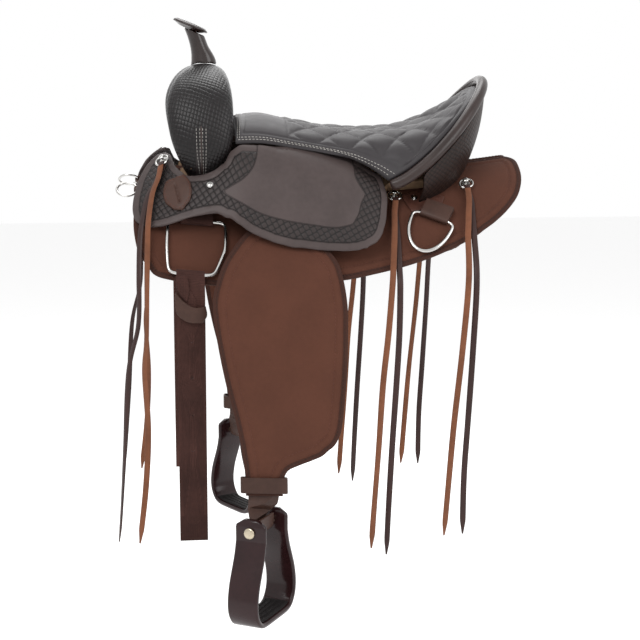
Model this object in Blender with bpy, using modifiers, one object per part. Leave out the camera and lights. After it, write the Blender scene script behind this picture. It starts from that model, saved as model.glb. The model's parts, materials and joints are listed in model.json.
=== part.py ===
"""A trail saddle: tree, padded seat, leather seat jockeys, fabric skirts, fenders and stirrups.

Metres, +Z up. The horse would face -X, so the horn is at -X and the cantle at +X, and the
rider's left is -Y. The origin is the middle of the line on which the saddle lies on a back.
Most pieces follow the sloping side of that back. A place on it is given by x, by s, the
distance walked down the side from the middle line, and by n, the height above it.
"""
import math

import bmesh
import bpy
import numpy as np
from mathutils import Matrix, Vector

MM = 0.001
GAP = 0.3 * MM  # between pieces that touch

# The back that the saddle lies on, as flat facets between these distances down its side
KNOTS = [0, 0.02, 0.04, 0.06, 0.08, 0.10, 0.125, 0.15, 0.18, 0.21, 0.24, 0.27, 0.30, 0.34,
         0.40, 0.50, 0.60, 0.75]
UPPER_SLOPE = math.radians(66)  # how steep the side gets below the bars
UPPER_EASE = 0.12  # how soon it gets there
LOWER_SLOPE = math.radians(17)  # added below the skirts, where straps hang nearly plumb
LOWER_START = 0.20
LOWER_RUN = 0.16
ROCKER_RISE = 0.020  # both ends of the back are this much higher than its middle
ROCKER_REACH = 0.30
X_LINES = [-0.245, -0.16, -0.055, 0.035, 0.125, 0.21]  # facets along the back

# Layers on that back, from the inside out
LINING_THICK = 0.012
SKIRT_THICK = 0.006
BAR_THICK = 0.015
LEATHER_THICK = 0.004
FENDER_THICK = 0.0045
FENDER_PLAY = 0.004  # between a fender and the jockey over it
WEB_THICK = 0.003
CUSHION_THICK = 0.018
CUSHION_EDGE_THICK = 0.006
GROUND_SEAT_THICK = 0.003
GROUND_SEAT_REACH = 0.9  # of the way from the middle to the cushion's edges

# Tree bars
BAR_FRONT = -0.235
BAR_BACK = 0.222
BAR_TOP = 0.045
BAR_FOOT = 0.150

# Swell fork and horn
FORK_X = -0.197
FORK_TOP = 0.159
FORK_SIDE = 0.129
FORK_COVER_THICK = 0.003
HORN_BASE_Z = 0.178  # inside the fork, which cuts the neck's foot to its own shape
HORN_BASE_X = -0.1885
HORN_CAP_X = -0.2075
HORN_CAP_Z = 0.256
HORN_CAP_RADIUS = 0.030
HORN_CAP_THICK = 0.012
HORN_NECK_BACK = 0.009  # of the cap's middle, so their rear edges meet
HORN_TILT = math.radians(22)

# Seat and cantle
SEAT_FRONT = -0.144
SEAT_HALF_WIDTH = 0.131
CANTLE_X = 0.258
CANTLE_Z = 0.155
WING_X = 0.092
WING_Y = 0.150
WING_Z = 0.012
ROLL_RADIUS = 0.0095
QUILT_DEPTH = 0.0045
QUILT_PITCH = 0.055

# Fender, stirrup leather and stirrup
FENDER_X = -0.092
FENDER_PIVOT_S = 0.150
FENDER_SWING_SLOPE = math.radians(62)  # of the plane that it swings in
LEATHER_REACH = 0.020  # above the pivot, in a groove of the bar
GROOVE_HALF_WIDTH = 0.042
GROOVE_REACH = 0.031
LEATHER_WIDTH = 0.064
LEATHER_NECK_WIDTH = 0.046
NECK_X = -0.115
HOBBLE_S = 0.552
HOBBLE_HEIGHT = 0.024
HOBBLE_THICK = 0.003
HOBBLE_HALF_WIDTH = 0.0345
BOLT_X = -0.119
BOLT_Y = 0.2945
BOLT_Z = -0.497
BOLT_TURN = math.radians(30)  # the stirrup is turned this far towards the rider's foot
BOLT_RADIUS = 0.005
BOLT_HEAD_RADIUS = 0.009
BOLT_HEAD_THICK = 0.005
STIRRUP_TOP_HALF = 0.037
STIRRUP_TREAD_HALF = 0.066
STIRRUP_RISE = 0.020
STIRRUP_DROP = 0.142
STIRRUP_BAND = 0.050
STIRRUP_THICK = 0.008

# Rings and straps
RING_WIRE = 0.003
RIG_TOP = 0.158
RIG_FOOT = 0.246
RIG_FRONT = -0.252
RIG_BACK = -0.163
RIG_TAB_WIDTH = 0.050
CINCH_X = -0.220
CINCH_WIDTH = 0.043
CINCH_FOOT_Z = -0.540
CINCH_HOLE_RADIUS = 0.003
CINCH_HOLES = 4
CINCH_HOLE_PITCH = 0.057
CINCH_FIRST_HOLE = 0.145  # above the strap's lower end
DEE_X = 0.166
DEE_S = 0.150
DEE_TILT = math.radians(28)
DEE_HALF_WIDTH = 0.034
DEE_DROP = 0.064
DEE_RAISE = 0.0004  # keeps its straight bar off the curving side
DEE_TAB_WIDTH = 0.046
DEE_TAB_LENGTH = 0.029
BREAST_RING_RADIUS = 0.016
BREAST_WIRE = 0.002
BREAST_TAB_WIDTH = 0.0075
BREAST_S = 0.095
BREAST_X = -0.2931

# Saddle strings, each tied in a ring that hangs on a stud
STUD_RADIUS = 0.002
STUD_HEAD_RADIUS = 0.005
STUD_BASE_RADIUS = 0.007
STRING_RING_RADIUS = 0.011
STRING_RING_WIRE = 0.0018
STRING_WIDTH = 0.010
STRING_THICK = 0.0025
SOFT_LIFT = 0.0011  # of what lies on the twisting front of a jockey
FLAT_ANGLE = math.radians(33)  # half the angle over which a string ring is straight
# Each stud's x and s, then the inner and the outer tail: x and s down the side, x and z below
STRINGS = {
    "front": ((-0.256, 0.068),
              ([(-0.270, 0.105), (-0.284, 0.130), (-0.290, 0.17), (-0.291, 0.21)],
               [(-0.294, -0.25), (-0.303, -0.40), (-0.308, -0.50), (-0.302, -0.538)]),
              ([(-0.266, 0.105), (-0.276, 0.130), (-0.278, 0.17), (-0.276, 0.21)],
               [(-0.270, -0.25), (-0.266, -0.36), (-0.272, -0.45), (-0.284, -0.540)])),
    "middle": ((0.108, 0.098),
               ([(0.103, 0.14), (0.099, 0.18), (0.097, 0.23)],
                [(0.092, -0.30), (0.084, -0.40), (0.081, -0.50), (0.075, -0.562)]),
               ([(0.105, 0.14), (0.105, 0.18), (0.112, 0.235)],
                [(0.119, -0.30), (0.121, -0.38), (0.112, -0.48), (0.101, -0.575)])),
    "rear": ((0.226, 0.085),
             ([(0.224, 0.125), (0.221, 0.15), (0.219, 0.19)],
              [(0.213, -0.25), (0.203, -0.36), (0.195, -0.45), (0.193, -0.545)]),
             ([(0.228, 0.125), (0.230, 0.15), (0.231, 0.19)],
              [(0.229, -0.25), (0.224, -0.36), (0.222, -0.45), (0.230, -0.540)])),
}

COLOURS = {  # colour, roughness, metallic
    "tree_wood": ((0.30, 0.20, 0.12), 0.7, 0.0),
    "ground_leather": ((0.10, 0.06, 0.04), 0.7, 0.0),
    "tooled_leather": ((0.040, 0.022, 0.018), 0.45, 0.0),
    "smooth_leather": ((0.045, 0.028, 0.025), 0.40, 0.0),
    "seat_leather": ((0.060, 0.050, 0.052), 0.45, 0.0),
    "fleece": ((0.10, 0.06, 0.045), 0.95, 0.0),
    "cordura": ((0.105, 0.045, 0.030), 0.85, 0.0),
    "webbing": ((0.070, 0.030, 0.022), 0.80, 0.0),
    "strap_leather": ((0.060, 0.028, 0.020), 0.50, 0.0),
    "string_leather": ((0.120, 0.050, 0.030), 0.65, 0.0),
    "stirrup_resin": ((0.035, 0.012, 0.012), 0.25, 0.0),
    "steel": ((0.62, 0.62, 0.60), 0.25, 1.0),
}


# Curves, in plain numbers

def through(points, count, closed=False):
    """Places at even steps along a smooth curve through the points."""
    p = np.array(points, float)
    if closed:
        p = np.vstack([p[-1:], p, p[:2]])
    else:
        p = np.vstack([2 * p[0] - p[1], p, 2 * p[-1] - p[-2]])
    t = np.linspace(0, 1, 16, endpoint=False)[:, None]
    dense = []
    for a, b, c, d in zip(p, p[1:], p[2:], p[3:]):
        dense.append(0.5 * (2 * b + (c - a) * t + (2 * a - 5 * b + 4 * c - d) * t ** 2
                            + (3 * b - a - 3 * c + d) * t ** 3))
    dense = np.vstack(dense + [p[-2:-1]])
    along = np.concatenate([[0], np.cumsum(np.linalg.norm(np.diff(dense, axis=0), axis=1))])
    at = np.linspace(0, along[-1], count + 1 if closed else count)
    out = np.stack([np.interp(at, along, dense[:, k]) for k in range(p.shape[1])], axis=1)
    return out[:-1] if closed else out


def follow(points):
    """A smooth curve through the points, as a function of 0 to 1."""
    dense = through(points, 200)
    at = np.linspace(0, 1, 200)
    return lambda u: [np.interp(u, at, dense[:, k]) for k in range(dense.shape[1])]


def eased(t):
    """0 below 0, 1 above 1, and a smooth step between."""
    t = min(1.0, max(0.0, t))
    return t * t * (3 - 2 * t)


def slope_at(s):
    """The slope of the smooth side at s."""
    return (UPPER_SLOPE * (1 - math.exp(-s / UPPER_EASE))
            + LOWER_SLOPE * eased((s - LOWER_START) / LOWER_RUN))


def side_facets():
    """At every knot: y, z and the step in y and z that lifts each facet by one."""
    slopes = [slope_at((a + b) / 2) for a, b in zip(KNOTS, KNOTS[1:])]
    rows = []
    y = z = 0.0
    for i, s in enumerate(KNOTS):
        if i:
            y += (s - KNOTS[i - 1]) * math.cos(slopes[i - 1])
            z -= (s - KNOTS[i - 1]) * math.sin(slopes[i - 1])
        above = slopes[i - 1] if i else 0.0
        below = slopes[min(i, len(slopes) - 1)]
        middle, mitre = (above + below) / 2, 1 / math.cos((below - above) / 2)
        rows.append((y, z, math.sin(middle) * mitre, math.cos(middle) * mitre))
    return np.array(rows)


FACETS = side_facets()


def on_side(side, x, s, n):
    """The place at x and s, n above the back. side is -1 on the rider's left and 1 on the right."""
    y, z, step_y, step_z = (float(np.interp(s, KNOTS, FACETS[:, k])) for k in range(4))
    rocker = float(np.interp(x, ROCKER_X, ROCKER_Z))
    return Vector((x, side * (y + n * step_y), z + n * step_z + rocker))


ROCKER_X = [-0.35] + X_LINES + [0.35]
ROCKER_Z = [ROCKER_RISE * (x / ROCKER_REACH) ** 2 for x in ROCKER_X]


def away(side, s):
    """The direction straight out of the side at s."""
    step_y, step_z = (float(np.interp(s, KNOTS, FACETS[:, k])) for k in (2, 3))
    return Vector((0, side * step_y, step_z)).normalized()


def steps(start, end):
    """start, every knot between, and end."""
    low, high = min(start, end), max(start, end)
    inner = [k for k in KNOTS if low + 0.002 < k < high - 0.002]
    return [start] + (inner if end > start else inner[::-1]) + [end]


def spot(side, x, s, height):
    """A place on the surface n = height(x, s), and the directions along x, down and out."""
    d = 0.004
    place = on_side(side, x, s, height(x, s))
    along = (on_side(side, x + d, s, height(x + d, s))
             - on_side(side, x - d, s, height(x - d, s))).normalized()
    down = (on_side(side, x, s + d, height(x, s + d))
            - on_side(side, x, s - d, height(x, s - d))).normalized()
    out = along.cross(down).normalized()
    if out.z < 0:
        out = -out
    return place, along, down, out


SKIRT_N = LINING_THICK + GAP
SKIRT_OUT = SKIRT_N + SKIRT_THICK
BAR_OUT = SKIRT_OUT + GAP + BAR_THICK
LEATHER_N = BAR_OUT + GAP
FENDER_N = LEATHER_N + LEATHER_THICK + GAP
JOCKEY_N = FENDER_N + FENDER_THICK + FENDER_PLAY


# Objects

def clear_scene():
    for obj in list(bpy.data.objects):
        bpy.data.objects.remove(obj, do_unlink=True)


def material(name):
    """The named material, made the first time it is asked for."""
    found = bpy.data.materials.get(name)
    if found:
        return found
    colour, roughness, metallic = COLOURS[name]
    made = bpy.data.materials.new(name)
    made.use_nodes = True
    shader = made.node_tree.nodes["Principled BSDF"]
    shader.inputs["Base Color"].default_value = (*colour, 1)
    shader.inputs["Roughness"].default_value = roughness
    shader.inputs["Metallic"].default_value = metallic
    made.diffuse_color = (*colour, 1)
    return made


def collection(name):
    found = bpy.data.collections.get(name)
    if not found:
        found = bpy.data.collections.new(name)
        bpy.context.scene.collection.children.link(found)
    return found


def add_mesh(name, bm, finish, smooth=True):
    """A bmesh as an object of the saddle."""
    mesh = bpy.data.meshes.new(name)
    bm.to_mesh(mesh)
    bm.free()
    if smooth:
        mesh.shade_smooth()
        mesh.set_sharp_from_angle(angle=math.radians(50))
    obj = bpy.data.objects.new(name, mesh)
    obj.data.materials.append(material(finish))
    collection("trail_saddle").objects.link(obj)
    return obj


def sheet(name, columns, rows, place, out, thickness, finish):
    """A grid laid by place(u, v), thickened towards out(u, v)."""
    bm = bmesh.new()
    bmesh.ops.create_grid(bm, x_segments=columns, y_segments=rows, size=1)
    middle = min(bm.faces, key=lambda face: face.calc_center_median().length)
    centre = middle.calc_center_median()
    wanted = out((centre.x + 1) / 2, (centre.y + 1) / 2)
    for vertex in bm.verts:
        vertex.co = place((vertex.co.x + 1) / 2, (vertex.co.y + 1) / 2)
    bm.normal_update()
    if middle.normal.dot(wanted) < 0:
        bmesh.ops.reverse_faces(bm, faces=bm.faces[:])
    obj = add_mesh(name, bm, finish)
    thicken = obj.modifiers.new("thickness", "SOLIDIFY")
    thicken.thickness = thickness
    thicken.offset = 1
    return obj


def panel(name, side, outline, low, high, finish, x_lines=X_LINES):
    """A flat piece cut to an outline of x and s, laid on the side between two heights."""
    bm = bmesh.new()
    bm.faces.new([bm.verts.new((x, s, 0)) for x, s in outline])
    lines = [((x, 0, 0), (1, 0, 0)) for x in x_lines] + [((0, s, 0), (0, 1, 0)) for s in KNOTS]
    for place, normal in lines:
        everything = bm.verts[:] + bm.edges[:] + bm.faces[:]
        bmesh.ops.bisect_plane(bm, geom=everything, plane_co=place, plane_no=normal,
                               dist=0.1 * MM)
    raised = bmesh.ops.extrude_face_region(bm, geom=bm.faces[:])["geom"]
    upper = {item for item in raised if isinstance(item, bmesh.types.BMVert)}
    for vertex in bm.verts:
        x, s, _ = vertex.co
        vertex.co = on_side(side, x, s, high(x, s) if vertex in upper else low(x, s))
    if bm.calc_volume(signed=True) < 0:
        bmesh.ops.reverse_faces(bm, faces=bm.faces[:])
    return add_mesh(name, bm, finish)


def loft(name, rings, finish, closed=False, smooth=True):
    """A solid through a row of rings with the same number of corners."""
    bm = bmesh.new()
    rows = [[bm.verts.new(corner) for corner in ring] for ring in rings]
    pairs = list(zip(rows, rows[1:]))
    if closed:
        pairs.append((rows[-1], rows[0]))
    for first, second in pairs:
        for i in range(len(first)):
            j = (i + 1) % len(first)
            bm.faces.new((first[i], first[j], second[j], second[i]))
    if not closed:
        bm.faces.new(rows[0])
        bm.faces.new(rows[-1])
    bmesh.ops.recalc_face_normals(bm, faces=bm.faces[:])
    return add_mesh(name, bm, finish, smooth)


def strap(name, path, across, width, thickness, finish, closed=False):
    """A flat strap along a path. across and width are one value, or one for each place."""
    path = [Vector(p) for p in path]
    count = len(path)
    across = [Vector(a) for a in across] if isinstance(across, list) else [across] * count
    width = list(width) if isinstance(width, list) else [width] * count
    rings = []
    for i, place in enumerate(path):
        before = (place - path[i - 1]).normalized() if closed or i else None
        after = (path[(i + 1) % count] - place).normalized() if closed or i < count - 1 else None
        before, after = before or after, after or before
        along = (before + after).normalized()
        mitre = 1 / max(0.7, before.dot(along))
        half = across[i].normalized() * width[i] / 2
        lift = along.cross(across[i]).normalized() * mitre * thickness / 2
        rings.append([place - half - lift, place + half - lift,
                      place + half + lift, place - half + lift])
    return loft(name, rings, finish, closed, smooth=False)


def fold(centre, first, second, radius):
    """Half a turn round a bar: from the first direction, through the second, to the opposite."""
    reach = radius / math.cos(math.pi / 8)
    return [centre + (first * math.cos(a) + second * math.sin(a)) * reach
            for a in np.radians([22.5, 67.5, 112.5, 157.5])]


def wire(name, path, radius, finish, closed=True, resolution=1):
    """A round wire along a path, made a mesh."""
    curve = bpy.data.curves.new(name, "CURVE")
    curve.dimensions = "3D"
    curve.bevel_depth = radius
    curve.bevel_resolution = resolution
    curve.use_fill_caps = not closed
    spline = curve.splines.new("POLY")
    spline.points.add(len(path) - 1)
    for point, place in zip(spline.points, path):
        point.co = (*place, 1)
    spline.use_cyclic_u = closed
    obj = bpy.data.objects.new(name, curve)
    obj.data.materials.append(material(finish))
    collection("trail_saddle").objects.link(obj)
    return obj


def turned(name, profile, steps, centre, axis, finish):
    """A solid turned from (radius, height) pairs, its axis laid along axis at centre."""
    bm = bmesh.new()
    for radius, height in profile:
        bm.verts.new((radius, 0, height))
    bm.verts.ensure_lookup_table()
    for i in range(len(profile) - 1):
        bm.edges.new((bm.verts[i], bm.verts[i + 1]))
    obj = add_mesh(name, bm, finish, smooth=False)
    screw = obj.modifiers.new("turn", "SCREW")
    screw.steps = screw.render_steps = steps
    screw.use_merge_vertices = True
    screw.merge_threshold = 0.01 * MM
    screw.use_smooth_shade = False
    obj.matrix_world = (Matrix.Translation(centre)
                        @ Vector(axis).to_track_quat("Z", "Y").to_matrix().to_4x4())
    return obj


def turns_about(obj, place):
    """Puts the object's origin on the axis that it turns about, leaving its shape in place."""
    obj.data.transform(Matrix.Translation(-place))
    obj.matrix_world = Matrix.Translation(place)


def cut(obj, cutter):
    """Cuts the cutter's shape out of the object."""
    for other in list(cutter.users_collection):
        other.objects.unlink(cutter)
    collection("cutters").objects.link(cutter)
    cutter.hide_render = True
    cutter.display_type = "WIRE"
    modifier = obj.modifiers.new("cut", "BOOLEAN")
    modifier.operation = "DIFFERENCE"
    modifier.object = cutter


def round_cutter(name, centre, axis, radius, length, sides=12):
    """A round cutter along an axis."""
    bpy.ops.mesh.primitive_cylinder_add(vertices=sides, radius=radius, depth=length)
    cutter = bpy.context.object
    cutter.name = name
    cutter.matrix_world = (Matrix.Translation(centre)
                           @ Vector(axis).to_track_quat("Z", "Y").to_matrix().to_4x4())
    return cutter


# Lining, skirts and bars

SKIRT_TOP = [(-0.262, 0.050), (-0.20, 0.040), (-0.05, 0.026), (0.10, 0.020), (0.22, 0.013),
             (0.306, 0.012)]
SKIRT_EDGE = [(-0.279, 0.070), (-0.296, 0.110), (-0.305, 0.160), (-0.298, 0.215),
              (-0.272, 0.248), (-0.20, 0.257), (-0.09, 0.252), (0.02, 0.244), (0.129, 0.223),
              (0.196, 0.201), (0.253, 0.172), (0.296, 0.135), (0.314, 0.100), (0.319, 0.065),
              (0.316, 0.030)]
LINING_INSET = 0.006
BAR_OUTLINE = [(BAR_FRONT, 0.085), (BAR_FRONT + 0.005, 0.060), (-0.20, BAR_TOP), (-0.10, 0.040),
               (0.05, 0.034), (BAR_BACK - 0.017, 0.028), (BAR_BACK, 0.036), (BAR_BACK, 0.049),
               (BAR_BACK - 0.011, 0.064), (BAR_BACK - 0.026, 0.077), (0.17, 0.085),
               (0.10, 0.086), (0.075, 0.112),
               (0.045, BAR_FOOT - 0.003),
               (-0.03, BAR_FOOT), (-0.12, BAR_FOOT), (-0.155, 0.120), (-0.19, 0.104),
               (BAR_FRONT + 0.012, 0.100)]


def level(n):
    """A height that is the same everywhere."""
    return lambda x, s: n


def outline_of(top, edge, top_count, edge_count):
    """A closed outline: along the top curve, and back along the edge curve."""
    return ([tuple(p) for p in through(top, top_count)]
            + [tuple(p) for p in through(edge, edge_count)[::-1]])


def make_skirt(side, word):
    outline = outline_of(SKIRT_TOP, SKIRT_EDGE, 7, 30)
    middle = 0.13
    inner = [(x * (1 - LINING_INSET / 0.30), s - LINING_INSET * (1 if s > middle else 0))
             for x, s in outline_of(SKIRT_TOP, SKIRT_EDGE, 5, 18)]
    panel(f"skirt_lining_{word}", side, inner, level(0), level(LINING_THICK), "fleece")
    panel(f"skirt_{word}", side, outline, level(SKIRT_N), level(SKIRT_OUT), "cordura")
    bar = panel(f"tree_bar_{word}", side, BAR_OUTLINE, level(SKIRT_OUT + GAP), level(BAR_OUT),
                "tree_wood")
    cut(bar, leather_groove(side, word))


def leather_groove(side, word):
    """The space in a bar where the top of the stirrup leather swings."""
    upward, outward = swing_plane(side)
    length, height = GROOVE_REACH + 0.020, 0.030
    floor = fender_pivot(side) - outward * (LEATHER_THICK / 2 + GAP)
    centre = floor + upward * (GROOVE_REACH - length / 2) + outward * height / 2
    bpy.ops.mesh.primitive_cube_add(size=1)
    cutter = bpy.context.object
    cutter.name = f"groove_{word}"
    turn = Matrix((Vector((-side, 0, 0)), upward, outward)).transposed().to_4x4()
    size = Matrix.Diagonal((2 * GROOVE_HALF_WIDTH, length, height, 1))
    cutter.data.transform(Matrix.Translation(centre) @ turn @ size)
    return cutter


# Swell fork and horn

FORK_PATH = [(0, FORK_TOP), (0.055, FORK_TOP - 0.003), (0.098, 0.139),
             (FORK_SIDE - 0.006, 0.102), (FORK_SIDE, 0.060), (FORK_SIDE - 0.011, 0.028)]
FORK_FOOT_S = 0.086
FORK_HALF_X = [0.037, 0.045, 0.0525, 0.0525, 0.046, 0.034, 0.024]
FORK_HALF_THICK = [0.033, 0.032, 0.027, 0.023, 0.021, 0.017, 0.014]
FORK_LEAN = [0.009, 0.003, -0.002, -0.002, 0.001, 0.004, 0.005]
FORK_SQUARE = [0.8, 0.8, 0.8, 0.9, 1.0, 1.0, 1.0]  # below 1, the ovals bulge to rectangles
FORK_SIDES = 14


def bulged(part, power):
    """A cosine or sine drawn out towards 1 or -1."""
    return math.copysign(abs(part) ** power, part)


def fork_rings(shrink):
    """Oval rings from one foot over the top to the other, smaller by shrink all round."""
    foot = on_side(1, FORK_X + FORK_LEAN[-1], FORK_FOOT_S, BAR_OUT + GAP)
    half = FORK_PATH + [(foot.y, foot.z)]
    rows = [[y, z, half_x, thick, lean, square] for (y, z), half_x, thick, lean, square
            in zip(half, FORK_HALF_X, FORK_HALF_THICK, FORK_LEAN, FORK_SQUARE)]
    right = through(rows, 11)
    left = right[:0:-1] * [-1, 1, 1, 1, 1, 1]
    rows = np.vstack([left, right])
    rings = []
    for i, (y, z, half_x, thick, lean, square) in enumerate(rows):
        forward = Vector((1, 0, 0))
        if i in (0, len(rows) - 1):
            side = -1 if i == 0 else 1
            _, forward, _, out = spot(side, FORK_X, FORK_FOOT_S, level(BAR_OUT))
            tangent = -side * out
        else:
            step = rows[i + 1] - rows[i - 1]
            tangent = Vector((0, step[0], step[1]))
        face = tangent.cross(forward).normalized()
        centre = Vector((FORK_X + lean, y, z))
        turns = np.linspace(0, 2 * math.pi, FORK_SIDES, endpoint=False)
        rings.append([centre + forward * (half_x - shrink) * bulged(math.cos(a), square)
                      + face * (thick - shrink) * bulged(math.sin(a), square) for a in turns])
    return rings


def make_fork():
    loft("tree_fork", fork_rings(FORK_COVER_THICK + 2 * GAP), "tree_wood")
    bm = bmesh.new()
    outer = [[bm.verts.new(p) for p in ring] for ring in fork_rings(0)]
    inner = [[bm.verts.new(p) for p in ring] for ring in fork_rings(FORK_COVER_THICK)]
    for rows in (outer, inner):
        for first, second in zip(rows, rows[1:]):
            for i in range(FORK_SIDES):
                j = (i + 1) % FORK_SIDES
                bm.faces.new((first[i], first[j], second[j], second[i]))
    for end in (0, -1):
        for i in range(FORK_SIDES):
            j = (i + 1) % FORK_SIDES
            bm.faces.new((outer[end][i], outer[end][j], inner[end][j], inner[end][i]))
    bmesh.ops.recalc_face_normals(bm, faces=bm.faces[:])
    add_mesh("fork_cover", bm, "tooled_leather")


HORN_RINGS = [(0.0, 0.0225, 0.0235), (0.40, 0.0195, 0.0205), (0.70, 0.0170, 0.0185),
              (1.0, 0.0185, 0.0195)]


def make_horn():
    """The neck leans forwards and its top is cut to the cap's slope."""
    cap_axis = Vector((math.sin(HORN_TILT), 0, math.cos(HORN_TILT)))
    cap_place = Vector((HORN_CAP_X, 0, HORN_CAP_Z))
    cap_back = Vector((math.cos(HORN_TILT), 0, -math.sin(HORN_TILT)))
    top = cap_place - cap_axis * (HORN_CAP_THICK + GAP) + cap_back * HORN_NECK_BACK
    start = Vector((HORN_BASE_X, 0, HORN_BASE_Z))
    line = through([start, start + Vector((-0.001, 0, 0.024)),
                    start.lerp(top, 0.7) + Vector((0.002, 0, 0.001)), top], 8)
    sizes = through(HORN_RINGS, 8)
    rings = []
    for i, (place, (_, half_x, half_y)) in enumerate(zip(line, sizes)):
        tilt = HORN_TILT * eased(i / 7)
        flat = Vector((math.cos(tilt), 0, -math.sin(tilt)))
        rings.append([Vector(place) + flat * half_x * math.cos(a)
                      + Vector((0, half_y * math.sin(a), 0))
                      for a in np.linspace(0, 2 * math.pi, 16, endpoint=False)])
    neck = loft("horn_neck", rings, "smooth_leather")
    cut(neck, loft("fork_shape", fork_rings(-GAP), "tree_wood"))
    radius, thick = HORN_CAP_RADIUS, HORN_CAP_THICK
    profile = [(0, 0), (0.45 * radius, -0.001), (0.85 * radius, -0.0025), (radius, -0.005),
               (0.97 * radius, -0.0075), (0.75 * radius, -0.009), (0.55 * radius, -thick),
               (0, -thick)]
    turned("horn_cap", profile, 24, cap_place, cap_axis, "smooth_leather")


# Seat and cantle

SEAT_CENTRE = [(SEAT_FRONT + 0.002, 0, 0.104), (-0.10, 0, 0.107), (-0.065, 0, 0.097),
               (-0.030, 0, 0.086), (0.016, 0, 0.075), (0.070, 0, 0.069), (0.125, 0, 0.071),
               (0.170, 0, 0.084), (0.205, 0, 0.108), (0.235, 0, 0.134),
               (CANTLE_X, 0, CANTLE_Z)]
SEAT_EDGE = [(SEAT_FRONT - 0.001, SEAT_HALF_WIDTH - 0.001, 0.072),
             (-0.103, SEAT_HALF_WIDTH, 0.073), (-0.060, SEAT_HALF_WIDTH + 0.001, 0.067),
             (-0.014, SEAT_HALF_WIDTH + 0.003, 0.060), (0.025, SEAT_HALF_WIDTH + 0.006, 0.051),
             (0.064, SEAT_HALF_WIDTH + 0.011, 0.032), (WING_X, WING_Y, WING_Z)]
SEAT_NOSE = [(SEAT_FRONT + 0.002, 0, 0.104), (SEAT_FRONT + 0.001, 0.05, 0.103),
             (SEAT_FRONT, 0.10, 0.094), (SEAT_FRONT - 0.001, SEAT_HALF_WIDTH - 0.001, 0.072)]
seat_centre, seat_edge, seat_nose = follow(SEAT_CENTRE), follow(SEAT_EDGE), follow(SEAT_NOSE)


def rim(v):
    """The cantle's rim, from the top at v = 0 to the right wing's end at v = 1."""
    turn = math.radians(90) * min(1.0, abs(v))
    c, s = max(0.0, math.cos(turn)), math.sin(turn)
    return np.array([WING_X + (CANTLE_X - WING_X) * c, WING_Y * s,
                     WING_Z + (CANTLE_Z - WING_Z) * c ** 1.35])


def seat_plain(u, v):
    """The seat's top surface without its padding: u from front to rim, v from -1 to 1."""
    w = abs(v)
    c, e, f, r = (np.array(seat_centre(u)), np.array(seat_edge(u)), np.array(seat_nose(w)),
                  rim(w))
    flat = ((1 - u) * (1 - w) * np.array(seat_centre(0)) + (1 - u) * w * np.array(seat_edge(0))
            + u * (1 - w) * rim(0) + u * w * rim(1))
    place = (1 - w) * c + w * e + (1 - u) * f + u * r - flat
    place[1] *= -1 if v < 0 else 1
    return Vector(place)


def seat_out(u, v):
    """The direction straight up out of the seat."""
    d = 0.01
    along = seat_plain(min(1, u + d), v) - seat_plain(max(0, u - d), v)
    over = seat_plain(u, min(1, v + d)) - seat_plain(u, max(-1, v - d))
    return along.cross(over).normalized()


def quilt(u, v):
    """Padding that stands up between crossing seams, in the rear two thirds of the seat."""
    place = seat_plain(u, v)
    a = (place.x + place.y) / QUILT_PITCH
    b = (place.x - place.y) / QUILT_PITCH
    puff = abs(math.sin(math.pi * a) * math.sin(math.pi * b)) ** 0.5
    inside = eased((u - 0.22) / 0.06) * eased((0.93 - u) / 0.06) * eased((0.86 - abs(v)) / 0.08)
    return QUILT_DEPTH * (puff * inside + 0.6 * (1 - inside))


def make_seat():
    columns, rows = 32, 17
    bm = bmesh.new()
    top, under = [], []
    for i in range(columns + 1):
        u = i / columns
        top.append([])
        under.append([])
        for j in range(rows + 1):
            v = 2 * j / rows - 1
            out = seat_out(u, v)
            edge = eased(min(u / 0.06, (1 - u) / 0.06, (1 - abs(v)) / 0.14))
            lift = quilt(u, v) * edge
            depth = CUSHION_EDGE_THICK + (CUSHION_THICK - CUSHION_EDGE_THICK) * edge
            place = seat_plain(u, v)
            top[-1].append(bm.verts.new(place + out * lift))
            under[-1].append(bm.verts.new(place - out * depth))
    for i in range(columns):
        for j in range(rows):
            for face in (top, under):
                bm.faces.new((face[i][j], face[i + 1][j], face[i + 1][j + 1], face[i][j + 1]))
    border = ([(i, 0) for i in range(columns)] + [(columns, j) for j in range(rows)]
              + [(i, rows) for i in range(columns, 0, -1)] + [(0, j) for j in range(rows, 0, -1)])
    for (i, j), (k, m) in zip(border, border[1:] + border[:1]):
        bm.faces.new((top[i][j], top[k][m], under[k][m], under[i][j]))
    bmesh.ops.recalc_face_normals(bm, faces=bm.faces[:])
    add_mesh("seat_cushion", bm, "seat_leather")


def make_ground_seat():
    def place(u, v):
        u, v = 0.05 + 0.84 * u, GROUND_SEAT_REACH * (2 * v - 1)
        depth = CUSHION_THICK + GROUND_SEAT_THICK + 4 * GAP
        return seat_plain(u, v) - seat_out(u, v) * depth

    def out(u, v):
        return seat_out(0.05 + 0.84 * u, GROUND_SEAT_REACH * (2 * v - 1))

    sheet("ground_seat", 16, 10, place, out, GROUND_SEAT_THICK, "ground_leather")


CANTLE_FOOT_X = (0.112, 0.243)
CANTLE_FOOT_S = 0.122


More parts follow.
